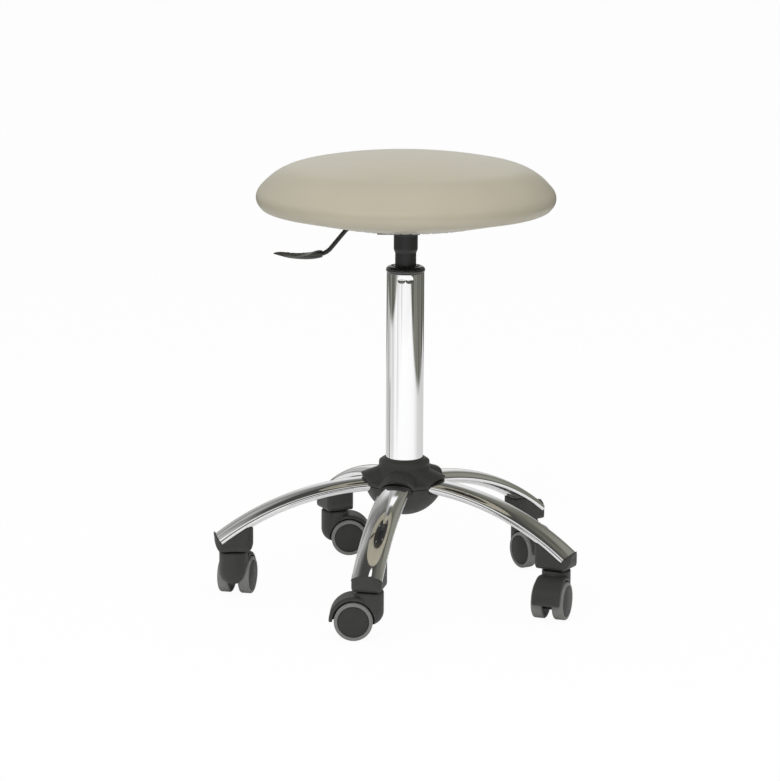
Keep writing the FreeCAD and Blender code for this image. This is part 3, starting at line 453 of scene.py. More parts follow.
@dataclass(frozen=True)
class Plywood(Finish):
    """Face veneer whose grain runs along X."""

    grain: float = 5 * MM
    stretch: float = 14.0
    pore: float = 0.625 * MM
    pore_share: float = 0.25
    pore_depth: float = 0.08 * MM
    pore_strength: float = 0.4
    darker: float = 0.3
    lighter: float = 0.12
    stops: tuple[float, float, float] = (0.3, 0.55, 0.8)
    streak_spread: float = 0.2

    def paint(self, on: Surface) -> None:
        """Long streaks of grain with darker pores.

        Args:
            on: the material's nodes.
        """
        inputs = {"Vector": on.coords, "Scale": (1.0 / self.stretch, 1.0, 1.0)}
        along = on.graph.value("ShaderNodeMapping", None, inputs, "Vector")
        streak = on.graph.speckle(along, self.grain, 5.0)
        pore = on.graph.speckle(along, self.pore, 2.0)
        tones = (self.shades(self.darker)[0], self.colour, self.shades(self.lighter)[1])
        mark = streak * (1 - self.pore_share) + pore * self.pore_share
        ramp = {"stops": list(zip(self.stops, tones))}
        on.set("Base Color", on.graph.value("ShaderNodeValToRGB", ramp, {"Fac": mark}, "Color"))
        on.sheen(streak, self.roughness, self.streak_spread)
        on.relief(pore, self.pore_depth, self.pore_strength)


VINYL = Vinyl("vinyl_taupe", Slot.VINYL, (0.50, 0.462, 0.354), 0.46)
# The board is coloured near black so that the seat's underside shows dark where the chrome arms reflect it.
PLYWOOD = Plywood("plywood_stained", Slot.BOARD, (0.045, 0.036, 0.026), 0.62)
CHROME = Chrome("chrome_bright", Slot.CHROME, (0.92, 0.92, 0.925), 0.03)
BLACK_PLASTIC = Moulded("plastic_black", Slot.BLACK_PLASTIC, (0.034, 0.034, 0.032), 0.48)
PADDLE_PLASTIC = Moulded(
    "plastic_paddle", Slot.BLACK_PLASTIC, (0.044, 0.044, 0.042), 0.36, spread=0.06, rub=0.08
)
GLOSS_PLASTIC = Moulded("plastic_gloss", Slot.BLACK_PLASTIC, (0.020, 0.020, 0.019), 0.16, gloss=1.0)
WHEEL_PLASTIC = Moulded("plastic_wheel", Slot.WHEEL_PLASTIC, (0.046, 0.046, 0.044), 0.42, gloss=0.15)
GREY_TREAD = Speckled(
    "tread_grey", Slot.GREY_TREAD, (0.20, 0.20, 0.19), 0.6,
    blotch=6 * MM, detail=5.0, spread=0.14, sheen=0.2,
    grain=0.6 * MM, grain_detail=3.0, depth=0.05 * MM, strength=0.4,
)
BLACK_STEEL = Speckled(
    "steel_black", Slot.BLACK_STEEL, (0.022, 0.022, 0.022), 0.42,
    blotch=32 * MM, detail=3.0, spread=0.1, sheen=0.15,
    grain=1.6 * MM, grain_detail=2.0, depth=0.05 * MM, strength=0.4,
)
STEEL = Speckled(
    "steel_plain", Slot.STEEL, (0.50, 0.50, 0.51), 0.34,
    blotch=0.8 * MM, detail=4.0, spread=0.08, sheen=0.16,
    grain=0.8 * MM, grain_detail=4.0, depth=0.02 * MM, strength=0.3, metallic=1.0,
)


# Mesh tools

class Shape:
    """Outlines and meshes shared by the sub-assemblies."""

    SHARP = math.radians(32)
    POLE = 1e-7

    @staticmethod
    def arc(centre: Point, radius: float, start: float, stop: float, steps: int) -> list[Point]:
        """Points of an arc from one angle in degrees to another, both included."""
        angles = np.radians(np.linspace(start, stop, steps + 1))
        return [(centre[0] + radius * math.cos(a), centre[1] + radius * math.sin(a)) for a in angles]

    @staticmethod
    def lathe(name: str, profile: Sequence[Point], segments: int, closed: bool) -> Mesh:
        """Turns a half-section of (radius, height) about Z.

        Args:
            name: the mesh's name.
            profile: the half-section; a radius of 0 becomes one pole.
            segments: how many spans go round.
            closed: whether the section's last point joins its first.

        Returns:
            The turned mesh with its faces outwards.
        """
        mesh = bmesh.new()
        angles = [2 * math.pi * k / segments for k in range(segments)]
        rings = []
        for radius, height in profile:
            places = [(radius * math.cos(a), radius * math.sin(a), height) for a in angles]
            if radius < Shape.POLE:
                places = [(0, 0, height)]
            rings.append([mesh.verts.new(place) for place in places])
        pairs = list(zip(rings, rings[1:]))
        if closed:
            pairs.append((rings[-1], rings[0]))
        for low, high in pairs:
            for k in range(segments):
                turns = (k, (k + 1) % segments)
                # The cloth's result depends on the order of the corners round a first pole
                back = turns if len(low) == 1 else turns[::-1]
                corners = [low[t % len(low)] for t in turns] + [high[t % len(high)] for t in back]
                face = list(dict.fromkeys(corners))
                if len(face) > 2:
                    mesh.faces.new(face)
        bmesh.ops.recalc_face_normals(mesh, faces=mesh.faces)
        made = bpy.data.meshes.new(name)
        mesh.to_mesh(made)
        mesh.free()
        return made

    @staticmethod
    def evaluated(obj: Object, name: str) -> Mesh:
        """The object's mesh with its modifiers worked in.

        Args:
            obj: the object.
            name: the new mesh's name.

        Returns:
            The plain mesh.
        """
        graph = bpy.context.evaluated_depsgraph_get()
        made = bpy.data.meshes.new_from_object(obj.evaluated_get(graph))
        made.name = name
        return made

    @staticmethod
    def link(name: str, data: Any) -> Object:
        """Adds an object to the scene.

        Args:
            name: the object's name.
            data: the mesh, lamp or camera that it shows.

        Returns:
            The object.
        """
        made = bpy.data.objects.new(name, data)
        bpy.context.scene.collection.objects.link(made)
        return made

    @staticmethod
    def read(mesh: Mesh, what: str = "co") -> np.ndarray:
        """Reads a vector of every point.

        Args:
            mesh: the mesh.
            what: the points' property, place or normal.

        Returns:
            One row for each point.
        """
        made = np.empty(len(mesh.vertices) * 3)
        mesh.vertices.foreach_get(what, made)
        return made.reshape(-1, 3)


class Piece:
    """Finished pieces: smooth, dressed, riding on a body and standing for CAD nodes."""

    @staticmethod
    def add(name: str, mesh: Mesh, finish: Finish, body: str, nodes: Sequence[str] = ()) -> Object:
        """Adds a piece made in this script.

        Args:
            name: the piece's name.
            mesh: its mesh, already in place.
            finish: its finish.
            body: the body that it rides on.
            nodes: CAD nodes that it stands for.

        Returns:
            The piece.
        """
        mesh.shade_smooth()
        mesh.set_sharp_from_angle(angle=Shape.SHARP)
        mesh.materials.clear()
        mesh.materials.append(finish.material())
        piece = Shape.link(name, mesh)
        if nodes:
            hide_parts(*nodes)
        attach(piece, body)
        LOG.info("piece %s on %s, %d faces", name, body, len(mesh.polygons))
        return piece

    @staticmethod
    def dress(finish: Finish, *nodes: str) -> None:
        """Gives CAD nodes that stay their finish.

        Args:
            finish: the finish.
            nodes: the nodes' names.
        """
        for node in nodes:
            shown = frame["nodes"][node]
            if not shown.material_slots:
                shown.data.materials.append(None)
            for slot in shown.material_slots:
                slot.material = finish.material()
            LOG.info("node %s in %s", node, finish.name)


@dataclass(frozen=True)
class Shell:
    """A moulded piece made from a CAD node: welded, meshed evenly and rounded at its edges."""

    node: str
    voxel: float
    passes: int
    weld: float = 0.002 * MM
    ease: float = 0.5
    wear_gain: float = 2.2

    def add(self, name: str, finish: Finish, body: str) -> None:
        """Adds the rounded copy as the piece that stands for its node."""
        Piece.add(name, self.mesh(name), finish, body, (self.node,))

    def mesh(self, name: str) -> Mesh:
        """The rounded copy, with how exposed each point is in its wear attribute.

        Args:
            name: the mesh's name.

        Returns:
            The mesh.
        """
        copy = bmesh.new()
        copy.from_mesh(frame["nodes"][self.node].data)
        bmesh.ops.remove_doubles(copy, verts=copy.verts, dist=self.weld)
        raw = bpy.data.meshes.new(f"{name}_raw")
        copy.to_mesh(raw)
        copy.free()
        rough = Shape.link(f"{name}_raw", raw)
        even = rough.modifiers.new("even", "REMESH")
        even.mode = "VOXEL"
        even.voxel_size = self.voxel
        smooth = rough.modifiers.new("smooth", "SMOOTH")
        smooth.factor = self.ease
        smooth.iterations = self.passes
        made = Shape.evaluated(rough, name)
        bpy.data.objects.remove(rough)
        self._mark_wear(made)
        return made

    def _mark_wear(self, mesh: Mesh) -> None:
        """Writes 0 on flat and hollow places and up to 1 on exposed edges.

        Args:
            mesh: the mesh that gets the attribute.
        """
        points, normals = Shape.read(mesh), Shape.read(mesh, "normal")
        ends = np.empty(len(mesh.edges) * 2, dtype=np.int64)
        mesh.edges.foreach_get("vertices", ends)
        first, second = ends.reshape(-1, 2).T
        step = points[second] - points[first]
        length = np.maximum(np.linalg.norm(step, axis=1), TINY)
        bend = np.einsum("ij,ij->i", normals[second] - normals[first], step) / length
        total = np.zeros(len(points))
        links = np.zeros(len(points))
        for end in (first, second):
            np.add.at(total, end, bend)
            np.add.at(links, end, 1)
        exposed = np.clip(total / np.maximum(links, 1) * self.wear_gain, 0, 1)
        wear = mesh.attributes.new(WEAR, "FLOAT", "POINT")
        wear.data.foreach_set("value", exposed.astype(np.float32))


class Repeat:
    """A geometry node tree with named inputs, worked into a plain mesh."""

    WHOLE = "NodeSocketInt"

    def __init__(self, name: str) -> None:
        """Starts an empty tree with one mesh output.

        Args:
            name: the tree's name.
        """
        self.tree = bpy.data.node_groups.new(name, "GeometryNodeTree")
        self.graph = Graph(self.tree)
        self.tree.interface.new_socket("Geometry", in_out="OUTPUT", socket_type="NodeSocketGeometry")
        self.inlet = self.graph.node("NodeGroupInput")
        self.names: dict[str, str] = {}

    def sizes(self, *names: str, kind: str = "NodeSocketFloat") -> list[Value]:
        """Adds named inputs.

        Args:
            names: the inputs' names.
            kind: their socket type.

        Returns:
            What they give inside the tree.
        """
        made = []
        for name in names:
            socket = self.tree.interface.new_socket(name, in_out="INPUT", socket_type=kind)
            self.names[name] = socket.identifier
            made.append(Value(self.tree, Graph.find(self.inlet.outputs, socket.identifier)))
        return made

    def close(self, geometry: Value) -> "Repeat":
        """Ends the tree: real geometry in the material that it is given.

        Args:
            geometry: what the tree makes.

        Returns:
            This tree.
        """
        skin, = self.sizes("Material", kind="NodeSocketMaterial")
        real = self.graph.value("GeometryNodeRealizeInstances", None, {"Geometry": geometry})
        dressed = self.graph.value("GeometryNodeSetMaterial", None, {"Geometry": real, "Material": skin})
        self.graph.node("NodeGroupOutput", None, {"Geometry": dressed})
        return self

    def grow(self, name: str, finish: Finish, sizes: dict[str, Any]) -> Mesh:
        """Works the tree into a mesh.

        Args:
            name: the mesh's name.
            finish: what it is dressed in.
            sizes: a value for each named input.

        Returns:
            A plain mesh with no modifier left.
        """
        holder = Shape.link(f"{name}_tree", bpy.data.meshes.new(f"{name}_tree"))
        modifier = holder.modifiers.new(name, "NODES")
        modifier.node_group = self.tree
        for label, item in {**sizes, "Material": finish.material()}.items():
            modifier[self.names[label]] = item
        holder.update_tag()
        made = Shape.evaluated(holder, name)
        bpy.data.objects.remove(holder)
        return made


# Sub-assemblies

@dataclass
class Cushion:
    """Vinyl cushion: crowned top, round rim, sides drawn in under it and a gathered hem below."""

    radius: float = 200 * MM
    level: float = 538 * MM
    edge: float = 18 * MM
    edge_sweep: float = 38.4
    shoulder: float = 86 * MM
    crown_sweep: float = 77.7
    tuck: float = 16 * MM
    tuck_sweep: float = 78.0
    arc_steps: tuple[int, ...] = (16, 12, 4, 8)
    slope_shares: tuple[float, ...] = (0.33, 0.66, 1.0)
    floor: float = 506.8 * MM
    hem: float = 106.3 * MM
    hem_steps: int = 8
    hem_turn: float = 4 * MM
    inset: float = 0.8 * MM
    segments: int = 176
    pressure: float = 4.0
    frames: int = 20
    pin_share: float = 0.8
    cap: float = 0.9 * MM
    pleats: int = 46
    pleat_depth: float = 0.45 * MM
    pleat_rise: float = 0.5
    pleat_reach: float = 60 * MM
    pleat_high: float = 9 * MM
    wander_scale: float = 4.0
    wander_turn: float = 5.0
    dimple: float = 0.35 * MM
    dimple_scale: float = 11.0
    seed: float = 7.3

    def build(self) -> None:
        mesh = Shape.lathe("cushion", self._section(), self.segments, closed=False)
        piece = Shape.link("cushion_form", mesh)
        self._inflate(piece)
        self._gather(piece.data)
        smooth = piece.modifiers.new("smooth", "SUBSURF")
        smooth.levels = 1
        smooth.render_levels = 1
        final = Shape.evaluated(piece, "cushion")
        bpy.data.objects.remove(piece)
        cushion = Piece.add("cushion", final, VINYL, Body.SEAT.value, ("seat_cover", "seat_foam"))

    def _section(self) -> list[Point]:
        """Half-section from the crown to the middle of the underside.

        Returns:
            (radius, height) points.
        """
        sweep = math.radians(self.edge_sweep)
        lean = math.radians(self.crown_sweep)
        shoulder_u = self.radius - self.edge + (self.edge - self.shoulder) * math.cos(sweep)
        shoulder_v = self.level + (self.edge - self.shoulder) * math.sin(sweep)
        crown = self.shoulder + shoulder_u / math.cos(lean)
        crown_v = shoulder_v + (self.shoulder - crown) * math.sin(lean)
        arcs = (
            ((0, crown_v), crown, 90, self.crown_sweep),
            ((shoulder_u, shoulder_v), self.shoulder, self.crown_sweep, self.edge_sweep),
            ((self.radius - self.edge, self.level), self.edge, self.edge_sweep, 0),
            ((self.radius - self.tuck, self.level), self.tuck, 0, -self.tuck_sweep),
        )
        points: list[Point] = []
        for (centre, radius, start, stop), steps in zip(arcs, self.arc_steps):
            points += Shape.arc(centre, radius - self.inset, start, stop, steps)[1 if points else 0:]
        last_u, last_v = points[-1]
        foot_u = last_u - (last_v - self.floor) * math.tan(math.radians(self.tuck_sweep))
        fall_u, fall_v = foot_u - last_u, self.floor - last_v
        slope = [(last_u + fall_u * t, last_v + fall_v * t) for t in self.slope_shares]
        inward = (self.hem - foot_u) / self.hem_steps
        flat = [(foot_u + inward * k, self.floor) for k in range(1, self.hem_steps + 1)]
        inside = self.floor + self.hem_turn
        return points + slope + flat + [(self.hem, inside), (0, inside)]

    def _inflate(self, piece: Object) -> None:
        """Blows the cover up against its hem with a cloth simulation and keeps the small swelling.

        Args:
            piece: the cushion's form, which is changed.
        """
        rest = Shape.read(piece.data)
        pinned = piece.vertex_groups.new(name="pinned")
        held = np.flatnonzero(rest[:, 2] < self.level - self.tuck * self.pin_share)
        pinned.add(held.tolist(), 1.0, "REPLACE")
        cloth = piece.modifiers.new("cover", "CLOTH")
        cloth.settings.vertex_group_mass = pinned.name
        cloth.settings.use_pressure = True
        cloth.settings.uniform_pressure_force = self.pressure
        cloth.settings.effector_weights.gravity = 0.0
        cloth.point_cache.frame_start = 1
        cloth.point_cache.frame_end = self.frames
        scene = bpy.context.scene
        for number in range(1, self.frames + 1):
            scene.frame_set(number)
        step = Shape.read(Shape.evaluated(piece, "swollen")) - rest
        piece.modifiers.remove(cloth)
        scene.frame_set(1)
        length = np.maximum(np.linalg.norm(step, axis=1), TINY)
        step *= (np.minimum(length, self.cap) / length)[:, None]
        piece.data.vertices.foreach_set("co", (rest + step).ravel())
        LOG.info("cushion swelled by up to %.1f mm", length.max() / MM)

    def _gather(self, mesh: Mesh) -> None:
        """Pleats the hem under the board and lets the foam show faintly above.

        Args:
            mesh: the cushion's mesh, which is changed.
        """
        for vertex in mesh.vertices:
            point = vertex.co
            reach = math.hypot(point.x, point.y)
            if point.z > self.level - self.tuck:
                drift = noise.noise(Vector((point.x, point.y, self.seed)) * self.dimple_scale)
                vertex.co.z += drift * self.dimple
                continue
            if reach < self.hem - MM or point.z > self.floor + self.pleat_high:
                continue
            angle = math.atan2(point.y, point.x)
            spread = max(0.0, min(1.0, (self.radius - self.tuck - reach) / self.pleat_reach))
            bearing = Vector((math.cos(angle), math.sin(angle), self.seed))
            wander = noise.noise(bearing * self.wander_scale) * self.wander_turn
            fold = math.sin(angle * self.pleats + wander)
            vertex.co.z -= (fold + self.pleat_rise) * self.pleat_depth * spread


@dataclass
class SeatUnderside:
    """What shows under the cushion: board, pressed plate, bolts, staples and the parts they hide."""

    staple_radius: float = 108 * MM
    staples: int = 52
    staple_wide: float = 10 * MM
    staple_high: float = 4 * MM
    staple_bend: float = 0.8 * MM
    staple_steps: int = 3
    staple_wire: float = 0.55 * MM
    staple_sides: int = 8
    staple_skew: float = 0.3
    staple_level: float = 506.3 * MM
    staple_seed: int = 11
    bolt_pitch: float = 112 * MM
    head_radius: float = 7.5 * MM
    head_high: float = 4.5 * MM
    head_level: float = 505 * MM
    head_sides: int = 40
    socket_radius: float = 2.9 * MM
    socket_sides: int = 6
    plate_voxel: float = 0.9 * MM
    plate_passes: int = 3
    column_low: float = 465.7 * MM
    column_rise: float = 3.4 * MM
    column_drop: float = 1.4 * MM
    column_wide: float = 16.0 * MM
    column_foot: float = 14.4 * MM

    def build(self) -> None:
        """Makes the staples, bolt heads and plate, and dresses the CAD nodes that stay."""
        staples = self._staple_tree().grow("hem_staples", STEEL, {
            "Count": self.staples, "Ring radius": self.staple_radius, "Crown": self.staple_wide,
            "Wire": self.staple_wire, "Level": self.staple_level, "Seed": self.staple_seed,
        })
        Piece.add("hem_staples", staples, STEEL, Body.SEAT.value)
        heads = self._bolt_tree().grow("plate_bolts", STEEL, {
            "Pitch": self.bolt_pitch, "Head radius": self.head_radius, "Head height": self.head_high,
            "Socket radius": self.socket_radius, "Level": self.head_level,
        })
        Piece.add("plate_bolts", heads, STEEL, Body.SEAT.value, ("seat_bolts",))
        Piece.dress(PLYWOOD, "seat_board")
        plate = Shell("seat_plate", self.plate_voxel, self.plate_passes).mesh("seat_plate_pressing")
        self._taper_socket(plate)
        Piece.add("seat_plate_pressing", plate, BLACK_STEEL, Body.SEAT.value, ("seat_plate",))
        Piece.dress(STEEL, "seat_tee_nuts", "lever_pin", "release_button")

    def _taper_socket(self, mesh: Mesh) -> None:
        """Rolls the lower edge of the column's socket in, so that it ends in a short cone.

        Args:
            mesh: the plate's mesh, which is changed.
        """
        for vertex in mesh.vertices:
            share = min((self.column_low + self.column_rise - vertex.co.z) / self.column_rise, 1.0)
            if share <= 0:
                continue
            reach = math.hypot(vertex.co.x, vertex.co.y)
            allowed = self.column_wide + (self.column_foot - self.column_wide) * share
            if reach > allowed:
                vertex.co.x *= allowed / reach
                vertex.co.y *= allowed / reach
            vertex.co.z -= self.column_drop * share

    def _staple_tree(self) -> Repeat:
        """A ring of wire staples, each lying along the hem.

        Returns:
            The tree.
        """
        tree = Repeat("staple_ring")
        graph = tree.graph
        count, seed = tree.sizes("Count", "Seed", kind=Repeat.WHOLE)
        radius, crown, wire, level = tree.sizes("Ring radius", "Crown", "Wire", "Level")
        ring = graph.value("GeometryNodeMeshCircle", None, {"Vertices": count, "Radius": radius})
        lifted = graph.moved(ring, Translation=graph.vector(z=level))
        loop = graph.value("GeometryNodeCurvePrimitiveQuadrilateral", None, {
            "Width": crown, "Height": self.staple_high,
        })
        soft = graph.value("GeometryNodeFilletCurve", {"mode": "POLY"}, {
            "Curve": loop, "Radius": self.staple_bend, "Count": self.staple_steps,
        })
        upright = graph.moved(
            soft, Translation=(0, 0, self.staple_high / 2), Rotation=(math.pi / 2, 0, math.pi / 2)
        )
        section = graph.value("GeometryNodeCurvePrimitiveCircle", None, {
            "Resolution": self.staple_sides, "Radius": wire,
        })
        bar = graph.value("GeometryNodeCurveToMesh", None, {"Curve": upright, "Profile Curve": section})
        flat = graph.value("ShaderNodeVectorMath", {"operation": "MULTIPLY"}, {
            "Vector": graph.value("GeometryNodeInputPosition"), "Vector_001": (1, 1, 0),
        })
        outward = {"axis": "X", "pivot_axis": "Z"}
        facing = graph.value("FunctionNodeAlignRotationToVector", outward, {"Vector": flat})
        skew = graph.value("FunctionNodeRandomValue", {"data_type": "FLOAT"}, {
            "Min_001": -self.staple_skew, "Max_001": self.staple_skew, "Seed": seed,
        }, "Value_001")
        about = graph.value("FunctionNodeAxisAngleToRotation", None, {"Axis": (0, 0, 1), "Angle": skew})
        turned = graph.value("FunctionNodeRotateRotation", {"rotation_space": "GLOBAL"}, {
            "Rotation": facing, "Rotate By": about,
        })
        return tree.close(graph.value("GeometryNodeInstanceOnPoints", None, {
            "Points": lifted, "Instance": bar, "Rotation": turned,
        }))

    def _bolt_tree(self) -> Repeat:
        """Four socket-head bolts at the corners of a square, heads down.

        Returns:
            The tree.
        """
        tree = Repeat("bolt_square")
        graph = tree.graph
        pitch, radius, high, socket, level = tree.sizes(
            "Pitch", "Head radius", "Head height", "Socket radius", "Level"
        )
        grid = graph.value("GeometryNodeMeshGrid", None, {
            "Size X": pitch, "Size Y": pitch, "Vertices X": 2, "Vertices Y": 2,
        })
        lifted = graph.moved(grid, Translation=graph.vector(z=level))
        solids = []
        for sides, wide, sunk in ((self.head_sides, radius, -0.5), (self.socket_sides, socket, -1.0)):
            prism = graph.value("GeometryNodeMeshCone", {"fill_type": "NGON"}, {
                "Vertices": sides, "Radius Top": wide, "Radius Bottom": wide, "Depth": high,
            })
            solids.append(graph.moved(prism, Translation=graph.vector(z=high * sunk)))
        cut = graph.value("GeometryNodeMeshBoolean", {"operation": "DIFFERENCE"}, {
            "Mesh 1": solids[0], "Mesh 2": solids[1],
        })
        return tree.close(graph.value("GeometryNodeInstanceOnPoints", None, {
            "Points": lifted, "Instance": cut,
        }))


@dataclass
class ReleaseLever:
    """Bent rod and moulded paddle."""

    voxel: float = 0.55 * MM
    rod_passes: int = 4
    paddle_passes: int = 6

    def build(self) -> None:
        """Rounds the rod and the paddle."""
        Shell("release_lever", self.voxel, self.rod_passes).add("lever_rod", BLACK_STEEL, Body.LEVER.value)
        paddle = Shell("lever_paddle", self.voxel, self.paddle_passes)
        paddle.add("lever_paddle_shell", PADDLE_PLASTIC, Body.LEVER.value)


@dataclass
class GasColumn:
    """Chrome outer tube with paired dents, guide ring, black cylinder and the hidden rod and bearing."""

    radius: float = 25 * MM
    wall: float = 1.6 * MM
    foot: float = 118 * MM
    cone_top: float = 164 * MM
    cone_shrink: float = 1.0 * MM
    top: float = 438 * MM
    lip: float = 0.5 * MM
    lip_steps: int = 4
    segments: int = 224
    dent_drop: float = 6.6 * MM
    dent_spread: float = 5.2 * MM
    dent_radius: float = 4.9 * MM
    dent_depth: float = 0.6 * MM
    dent_pairs: int = 3
    fine_step: float = 0.5 * MM
    fine_reach: float = 14 * MM
    ring_voxel: float = 0.6 * MM
    ring_passes: int = 4

    def build(self) -> None:
        """Makes the tube and the guide ring, and dresses what stays."""
        tube = Shape.lathe("column_skin", self._section(), self.segments, closed=True)
        self._dent(tube)
        Piece.add("column_skin", tube, CHROME, Body.BASE.value, ("column_tube",))
        ring = Shell("guide_bush", self.ring_voxel, self.ring_passes)
        ring.add("guide_ring", GLOSS_PLASTIC, Body.BASE.value)
        Piece.dress(BLACK_STEEL, "gas_cylinder")
        Piece.dress(STEEL, "piston_rod", "retaining_clip", "thrust_bearing")

    def _section(self) -> list[Point]:
        """Wall of the tube, fine near its top where the dents are.

        Returns:
            (radius, height) points of the closed section.
        """
        plain_top = self.top - self.fine_reach
        outer = [(self.radius - self.cone_shrink, self.foot)]
        outer += [(self.radius, self.cone_top), (self.radius, plain_top)]
        steps = int((self.fine_reach - self.lip) / self.fine_step)
        outer += [(self.radius, plain_top + self.fine_step * (k + 1)) for k in range(steps)]
        outer += Shape.arc((self.radius - self.lip, self.top - self.lip), self.lip, 0, 90, self.lip_steps)
        inner = self.radius - self.wall
        return outer + [(inner, self.top), (inner, self.cone_top), (inner - self.cone_shrink, self.foot)]

    def _dent(self, mesh: Mesh) -> None:
        """Presses pairs of round dents into the tube's outer face, just under its top.

        Args:
            mesh: the tube's mesh, which is changed.
        """
        level = self.top - self.dent_drop
        half = self.dent_spread / self.radius
        facings = [-math.pi / 2 + 2 * math.pi * pair / self.dent_pairs for pair in range(self.dent_pairs)]
        centres = [facing + side for facing in facings for side in (-half, half)]
        for vertex in mesh.vertices:
            point = vertex.co
            reach = math.hypot(point.x, point.y)
            if reach < self.radius - self.wall / 2:
                continue
            angle = math.atan2(point.y, point.x)
            for centre in centres:
                across = (angle - centre + math.pi) % (2 * math.pi) - math.pi
                away = math.hypot(across * self.radius, point.z - level) / self.dent_radius
                if away < 1:
                    sink = self.dent_depth * math.sqrt(1 - away * away)
                    vertex.co.x *= 1 - sink / reach
                    vertex.co.y *= 1 - sink / reach


@dataclass
class Hub:
    """Two moulded covers round the steel centre."""

    voxel: float = 0.9 * MM
    passes: int = 13
    lobe_half: float = 24.6 * MM
    rim: float = 53.5 * MM

    def build(self) -> None:
        """Rounds both covers and dresses the centre."""
        collar = Shell("hub_top_cover", self.voxel, self.passes).mesh("hub_collar_shell")
        self._round_lobes(collar)
        Piece.add("hub_collar_shell", collar, BLACK_PLASTIC, Body.BASE.value, ("hub_top_cover",))
        bowl = Shell("hub_bottom_cover", self.voxel, self.passes)
        bowl.add("hub_bowl_shell", BLACK_PLASTIC, Body.BASE.value)
        Piece.dress(BLACK_STEEL, "hub_core")

    def _round_lobes(self, mesh: Mesh) -> None:
        """Draws the lobes' corners back to the rim's circle, so that their ends are round from above.

        Args:
            mesh: the collar's mesh, which is changed.
        """
        points = Shape.read(mesh)
        for number in range(1, ARMS + 1):
            turn = StarBase.turn(number)
            along = np.array((math.cos(turn), math.sin(turn), 0.0))
            run = points @ along
            across = points @ np.array((-along[1], along[0], 0.0))
            spare = np.hypot(run, across) - self.rim
            bold = (spare > 0) & (run > self.rim / 2) & (np.abs(across) < self.rim / 2)
            kept = np.clip(1 - (across / self.lobe_half) ** 2, 0, 1)
            wanted = np.sqrt(np.maximum((self.rim + spare * kept) ** 2 - across ** 2, 0.0))
            points += np.where(bold, wanted - run, 0.0)[:, None] * along
        mesh.vertices.foreach_set("co", points.ravel())


@dataclass
class StarBase:
    """Five arched chrome tubes with moulded feet."""

    root: float = 30 * MM
    high: float = 151.7 * MM
    reach: float = 247.5 * MM
    drop: float = 73.4 * MM
    half_wide: float = 20.5 * MM
    half_thick: float = 9.5 * MM
    first_turn: float = -173.0
    spans: int = 72
    sides: int = 96
    voxel: float = 0.8 * MM
    passes: int = 10

    @classmethod
    def turn(cls, number: int) -> float:
        """The bearing of an arm in radians."""
        return math.radians(cls.first_turn - 360 / ARMS * (number - 1))

    def build(self) -> None:
        """Makes the arms along their arch and rounds the feet."""
        tree = self._arch_tree()
        run = self.reach - self.root
        bend = (run * run + self.drop * self.drop) / (2 * self.drop)
        for number in range(1, ARMS + 1):
            arm = tree.grow(f"arm_tube_{number}", CHROME, {
                "Bend": bend, "Sweep": math.asin(run / bend), "Root": self.root, "Height": self.high,
                "Half width": self.half_wide, "Half thickness": self.half_thick, "Turn": self.turn(number),
                "Spans": self.spans, "Sides": self.sides,
            })
            Piece.add(f"arm_tube_{number}", arm, CHROME, Body.BASE.value, (f"arm_{number}",))
            foot = Shell(f"foot_{number}", self.voxel, self.passes)
            foot.add(f"foot_shell_{number}", BLACK_PLASTIC, Body.BASE.value)
        Piece.dress(STEEL, "caster_stems")

    @staticmethod
    def _arch_tree() -> Repeat:
        """An oval tube along an arch that leaves the hub level and falls to the foot.

        Returns:
            The tree.
        """
        tree = Repeat("arched_tube")
        graph = tree.graph
        bend, sweep, root, high = tree.sizes("Bend", "Sweep", "Root", "Height")
        wide, thick, turn = tree.sizes("Half width", "Half thickness", "Turn")
        spans, sides = tree.sizes("Spans", "Sides", kind=Repeat.WHOLE)
        arch = graph.value("GeometryNodeCurveArc", None, {
            "Resolution": spans, "Radius": bend, "Start Angle": math.pi / 2 - sweep, "Sweep Angle": sweep,
        })
        spot = graph.vector(x=root, z=high - bend)
        upright = graph.moved(arch, Rotation=(math.pi / 2, 0, 0), Translation=spot)
        level = graph.value("GeometryNodeSetCurveNormal", {"mode": "Z_UP"}, {"Curve": upright})
        circle = graph.value("GeometryNodeCurvePrimitiveCircle", None, {"Resolution": sides, "Radius": 1.0})
        section = graph.moved(circle, Scale=graph.vector(wide, thick, 1.0))
        tube = graph.value("GeometryNodeCurveToMesh", None, {
            "Curve": level, "Profile Curve": section, "Fill Caps": True,
        })
        return tree.close(graph.moved(tube, Rotation=graph.vector(z=turn)))


